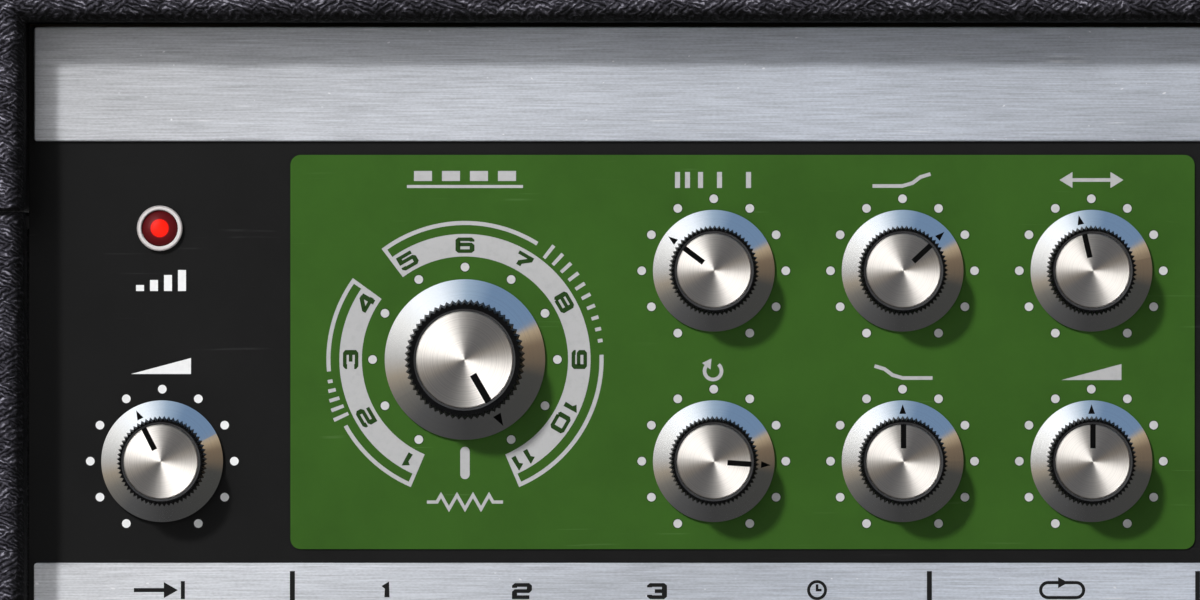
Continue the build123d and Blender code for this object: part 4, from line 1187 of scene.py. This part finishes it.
# What bright metal reflects, by the angle clockwise from straight up: round the edge, and in front
RIM_REFLECTIONS = [
    (-180, grey(0.05)),
    (-140, grey(0.09)),
    (-118, (0.18, 0.17, 0.15)),
    (-104, (0.36, 0.31, 0.24)),
    (-88, (0.55, 0.54, 0.52)),
    (-62, (0.95, 0.95, 0.92)),
    (-40, (1.15, 1.2, 1.24)),
    (-22, (1.0, 1.08, 1.16)),
    (0, (0.36, 0.48, 0.62)),
    (20, (0.17, 0.27, 0.42)),
    (60, (0.17, 0.27, 0.42)),
    (66, (0.5, 0.39, 0.25)),
    (78, (0.2, 0.145, 0.095)),
    (92, (0.15, 0.115, 0.08)),
    (104, (0.06, 0.06, 0.055)),
    (180, grey(0.05)),
]
FACE_REFLECTIONS = [
    (-180, (0.3, 0.29, 0.28)),
    (-165, (0.115, 0.098, 0.08)),
    (-118, (0.115, 0.096, 0.078)),
    (-96, grey(0.9)),
    (-78, grey(5.8)),
    (-28, grey(5.8)),
    (-8, (0.6, 0.57, 0.52)),
    (14, (0.115, 0.096, 0.078)),
    (64, (0.115, 0.096, 0.078)),
    (105, grey(0.3)),
    (166, (0.3, 0.29, 0.28)),
    (180, (0.3, 0.29, 0.28)),
]
CAMERA_REFLECTION = grey(0.12)  # straight in front, where the camera stands
FRONT_FROM = (0.72, 0.80)  # shares of the dome's depth over which its front sets in
STRAIGHT_FROM = (0.955, 0.985)  # and over which the camera's place does


def reflections():
    """A studio's soft box, cool and warm walls and dark ground, by their direction."""
    material, tree, _ = new_material("reflections")
    tree.nodes.clear()
    unit = node(tree, "ShaderNodeVectorMath", {0: place(tree)}, operation="NORMALIZE")
    at = axes(tree, unit.outputs["Vector"])
    around = maths(tree, "ARCTAN2", at["X"], at["Z"])
    turn = remap(tree, around, -math.pi, math.pi)
    rim = ramp(tree, turn, [((a + 180) / 360, colour) for a, colour in RIM_REFLECTIONS])
    face = ramp(tree, turn, [((a + 180) / 360, colour) for a, colour in FACE_REFLECTIONS])
    depth = product(tree, at["Y"], -1.0)
    front = remap(tree, depth, *FRONT_FROM)
    straight = remap(tree, depth, *STRAIGHT_FROM)
    tone = mix(tree, straight, mix(tree, front, rim, face), CAMERA_REFLECTION)
    emission = node(tree, "ShaderNodeEmission", {"Color": tone})
    node(tree, "ShaderNodeOutputMaterial", {"Surface": emission.outputs["Emission"]})
    return material


def reflection_dome(middle):
    """What the bright metal shows, seen only in reflections."""
    mesh = bpy.data.meshes.new("reflection_dome")
    made = bmesh.new()
    bmesh.ops.create_uvsphere(made, u_segments=48, v_segments=24, radius=DOME_R)
    bmesh.ops.delete(made, geom=[v for v in made.verts if v.co.y > 0.02], context="VERTS")
    made.to_mesh(mesh)
    made.free()
    mesh.materials.append(reflections())
    obj = new_object("reflection_dome", mesh)
    obj.location = middle
    for ray in ("camera", "diffuse", "shadow", "transmission", "volume_scatter"):
        setattr(obj, f"visible_{ray}", False)


def pale_world():
    """Soft light from all sides; the camera, metal and glass see a pale studio."""
    world = bpy.data.worlds.new("studio")
    bpy.context.scene.world = world
    world.use_nodes = True
    tree = world.node_tree
    path = node(tree, "ShaderNodeLightPath")
    seen = maths(tree, "MAXIMUM", path.outputs["Is Camera Ray"], path.outputs["Is Glossy Ray"])
    seen = maths(tree, "MAXIMUM", seen, path.outputs["Is Transmission Ray"])
    tone = mix(tree, seen, WORLD_FILL, WORLD_SEEN)
    feed(tree, tree.nodes["Background"], {"Color": tone, "Strength": 1.0})


def area_light(name, direction, distance, size, power, target):
    data = bpy.data.lights.new(name, "AREA")
    data.shape = "DISK"
    data.size = size
    data.energy = power
    obj = new_object(name, data)
    obj.location = target + direction.normalized() * distance
    obj.rotation_euler = (target - obj.location).to_track_quat("-Z", "Y").to_euler()
    obj.visible_glossy = False


def photo_camera(target):
    data = bpy.data.cameras.new("camera")
    data.lens = FOCAL_LENGTH
    data.sensor_width = SENSOR
    data.clip_end = VIEW_END
    obj = new_object("camera", data)
    distance = PHOTO_SIZE[0] * PX * FOCAL_LENGTH / SENSOR
    obj.location = (target.x, target.y - distance, target.z)
    obj.rotation_euler = (math.radians(90), 0, 0)
    bpy.context.scene.camera = obj


# The object
paint_frame()
print_captions()
print_bottom_strip()
print_dots()
print_selector()
print_power()
print_rear()
for knob_name in KNOB_NAMES:
    skirt_arrow(knob_name)
lamp_lenses()
hinge_screws()
rear_screws()
deck_screws()
NODES["cabinet_shell"].visible_glossy = False  # the knobs don't mirror the rim, as in the photograph

# The stage
photo_x, photo_z = photo_point(PHOTO_SIZE[0] / 2, PHOTO_SIZE[1] / 2)
PHOTO_MIDDLE = Vector((photo_x, FIELD_Y, photo_z))
pale_floor()
reflection_dome(PHOTO_MIDDLE)
pale_world()
area_light("key", KEY_DIRECTION, KEY_DISTANCE, KEY_SIZE, KEY_POWER, PHOTO_MIDDLE)
area_light("back", BACK_DIRECTION, BACK_DISTANCE, BACK_SIZE, BACK_POWER, PHOTO_MIDDLE)
photo_camera(PHOTO_MIDDLE)
bpy.context.scene.view_settings.view_transform = "Standard"
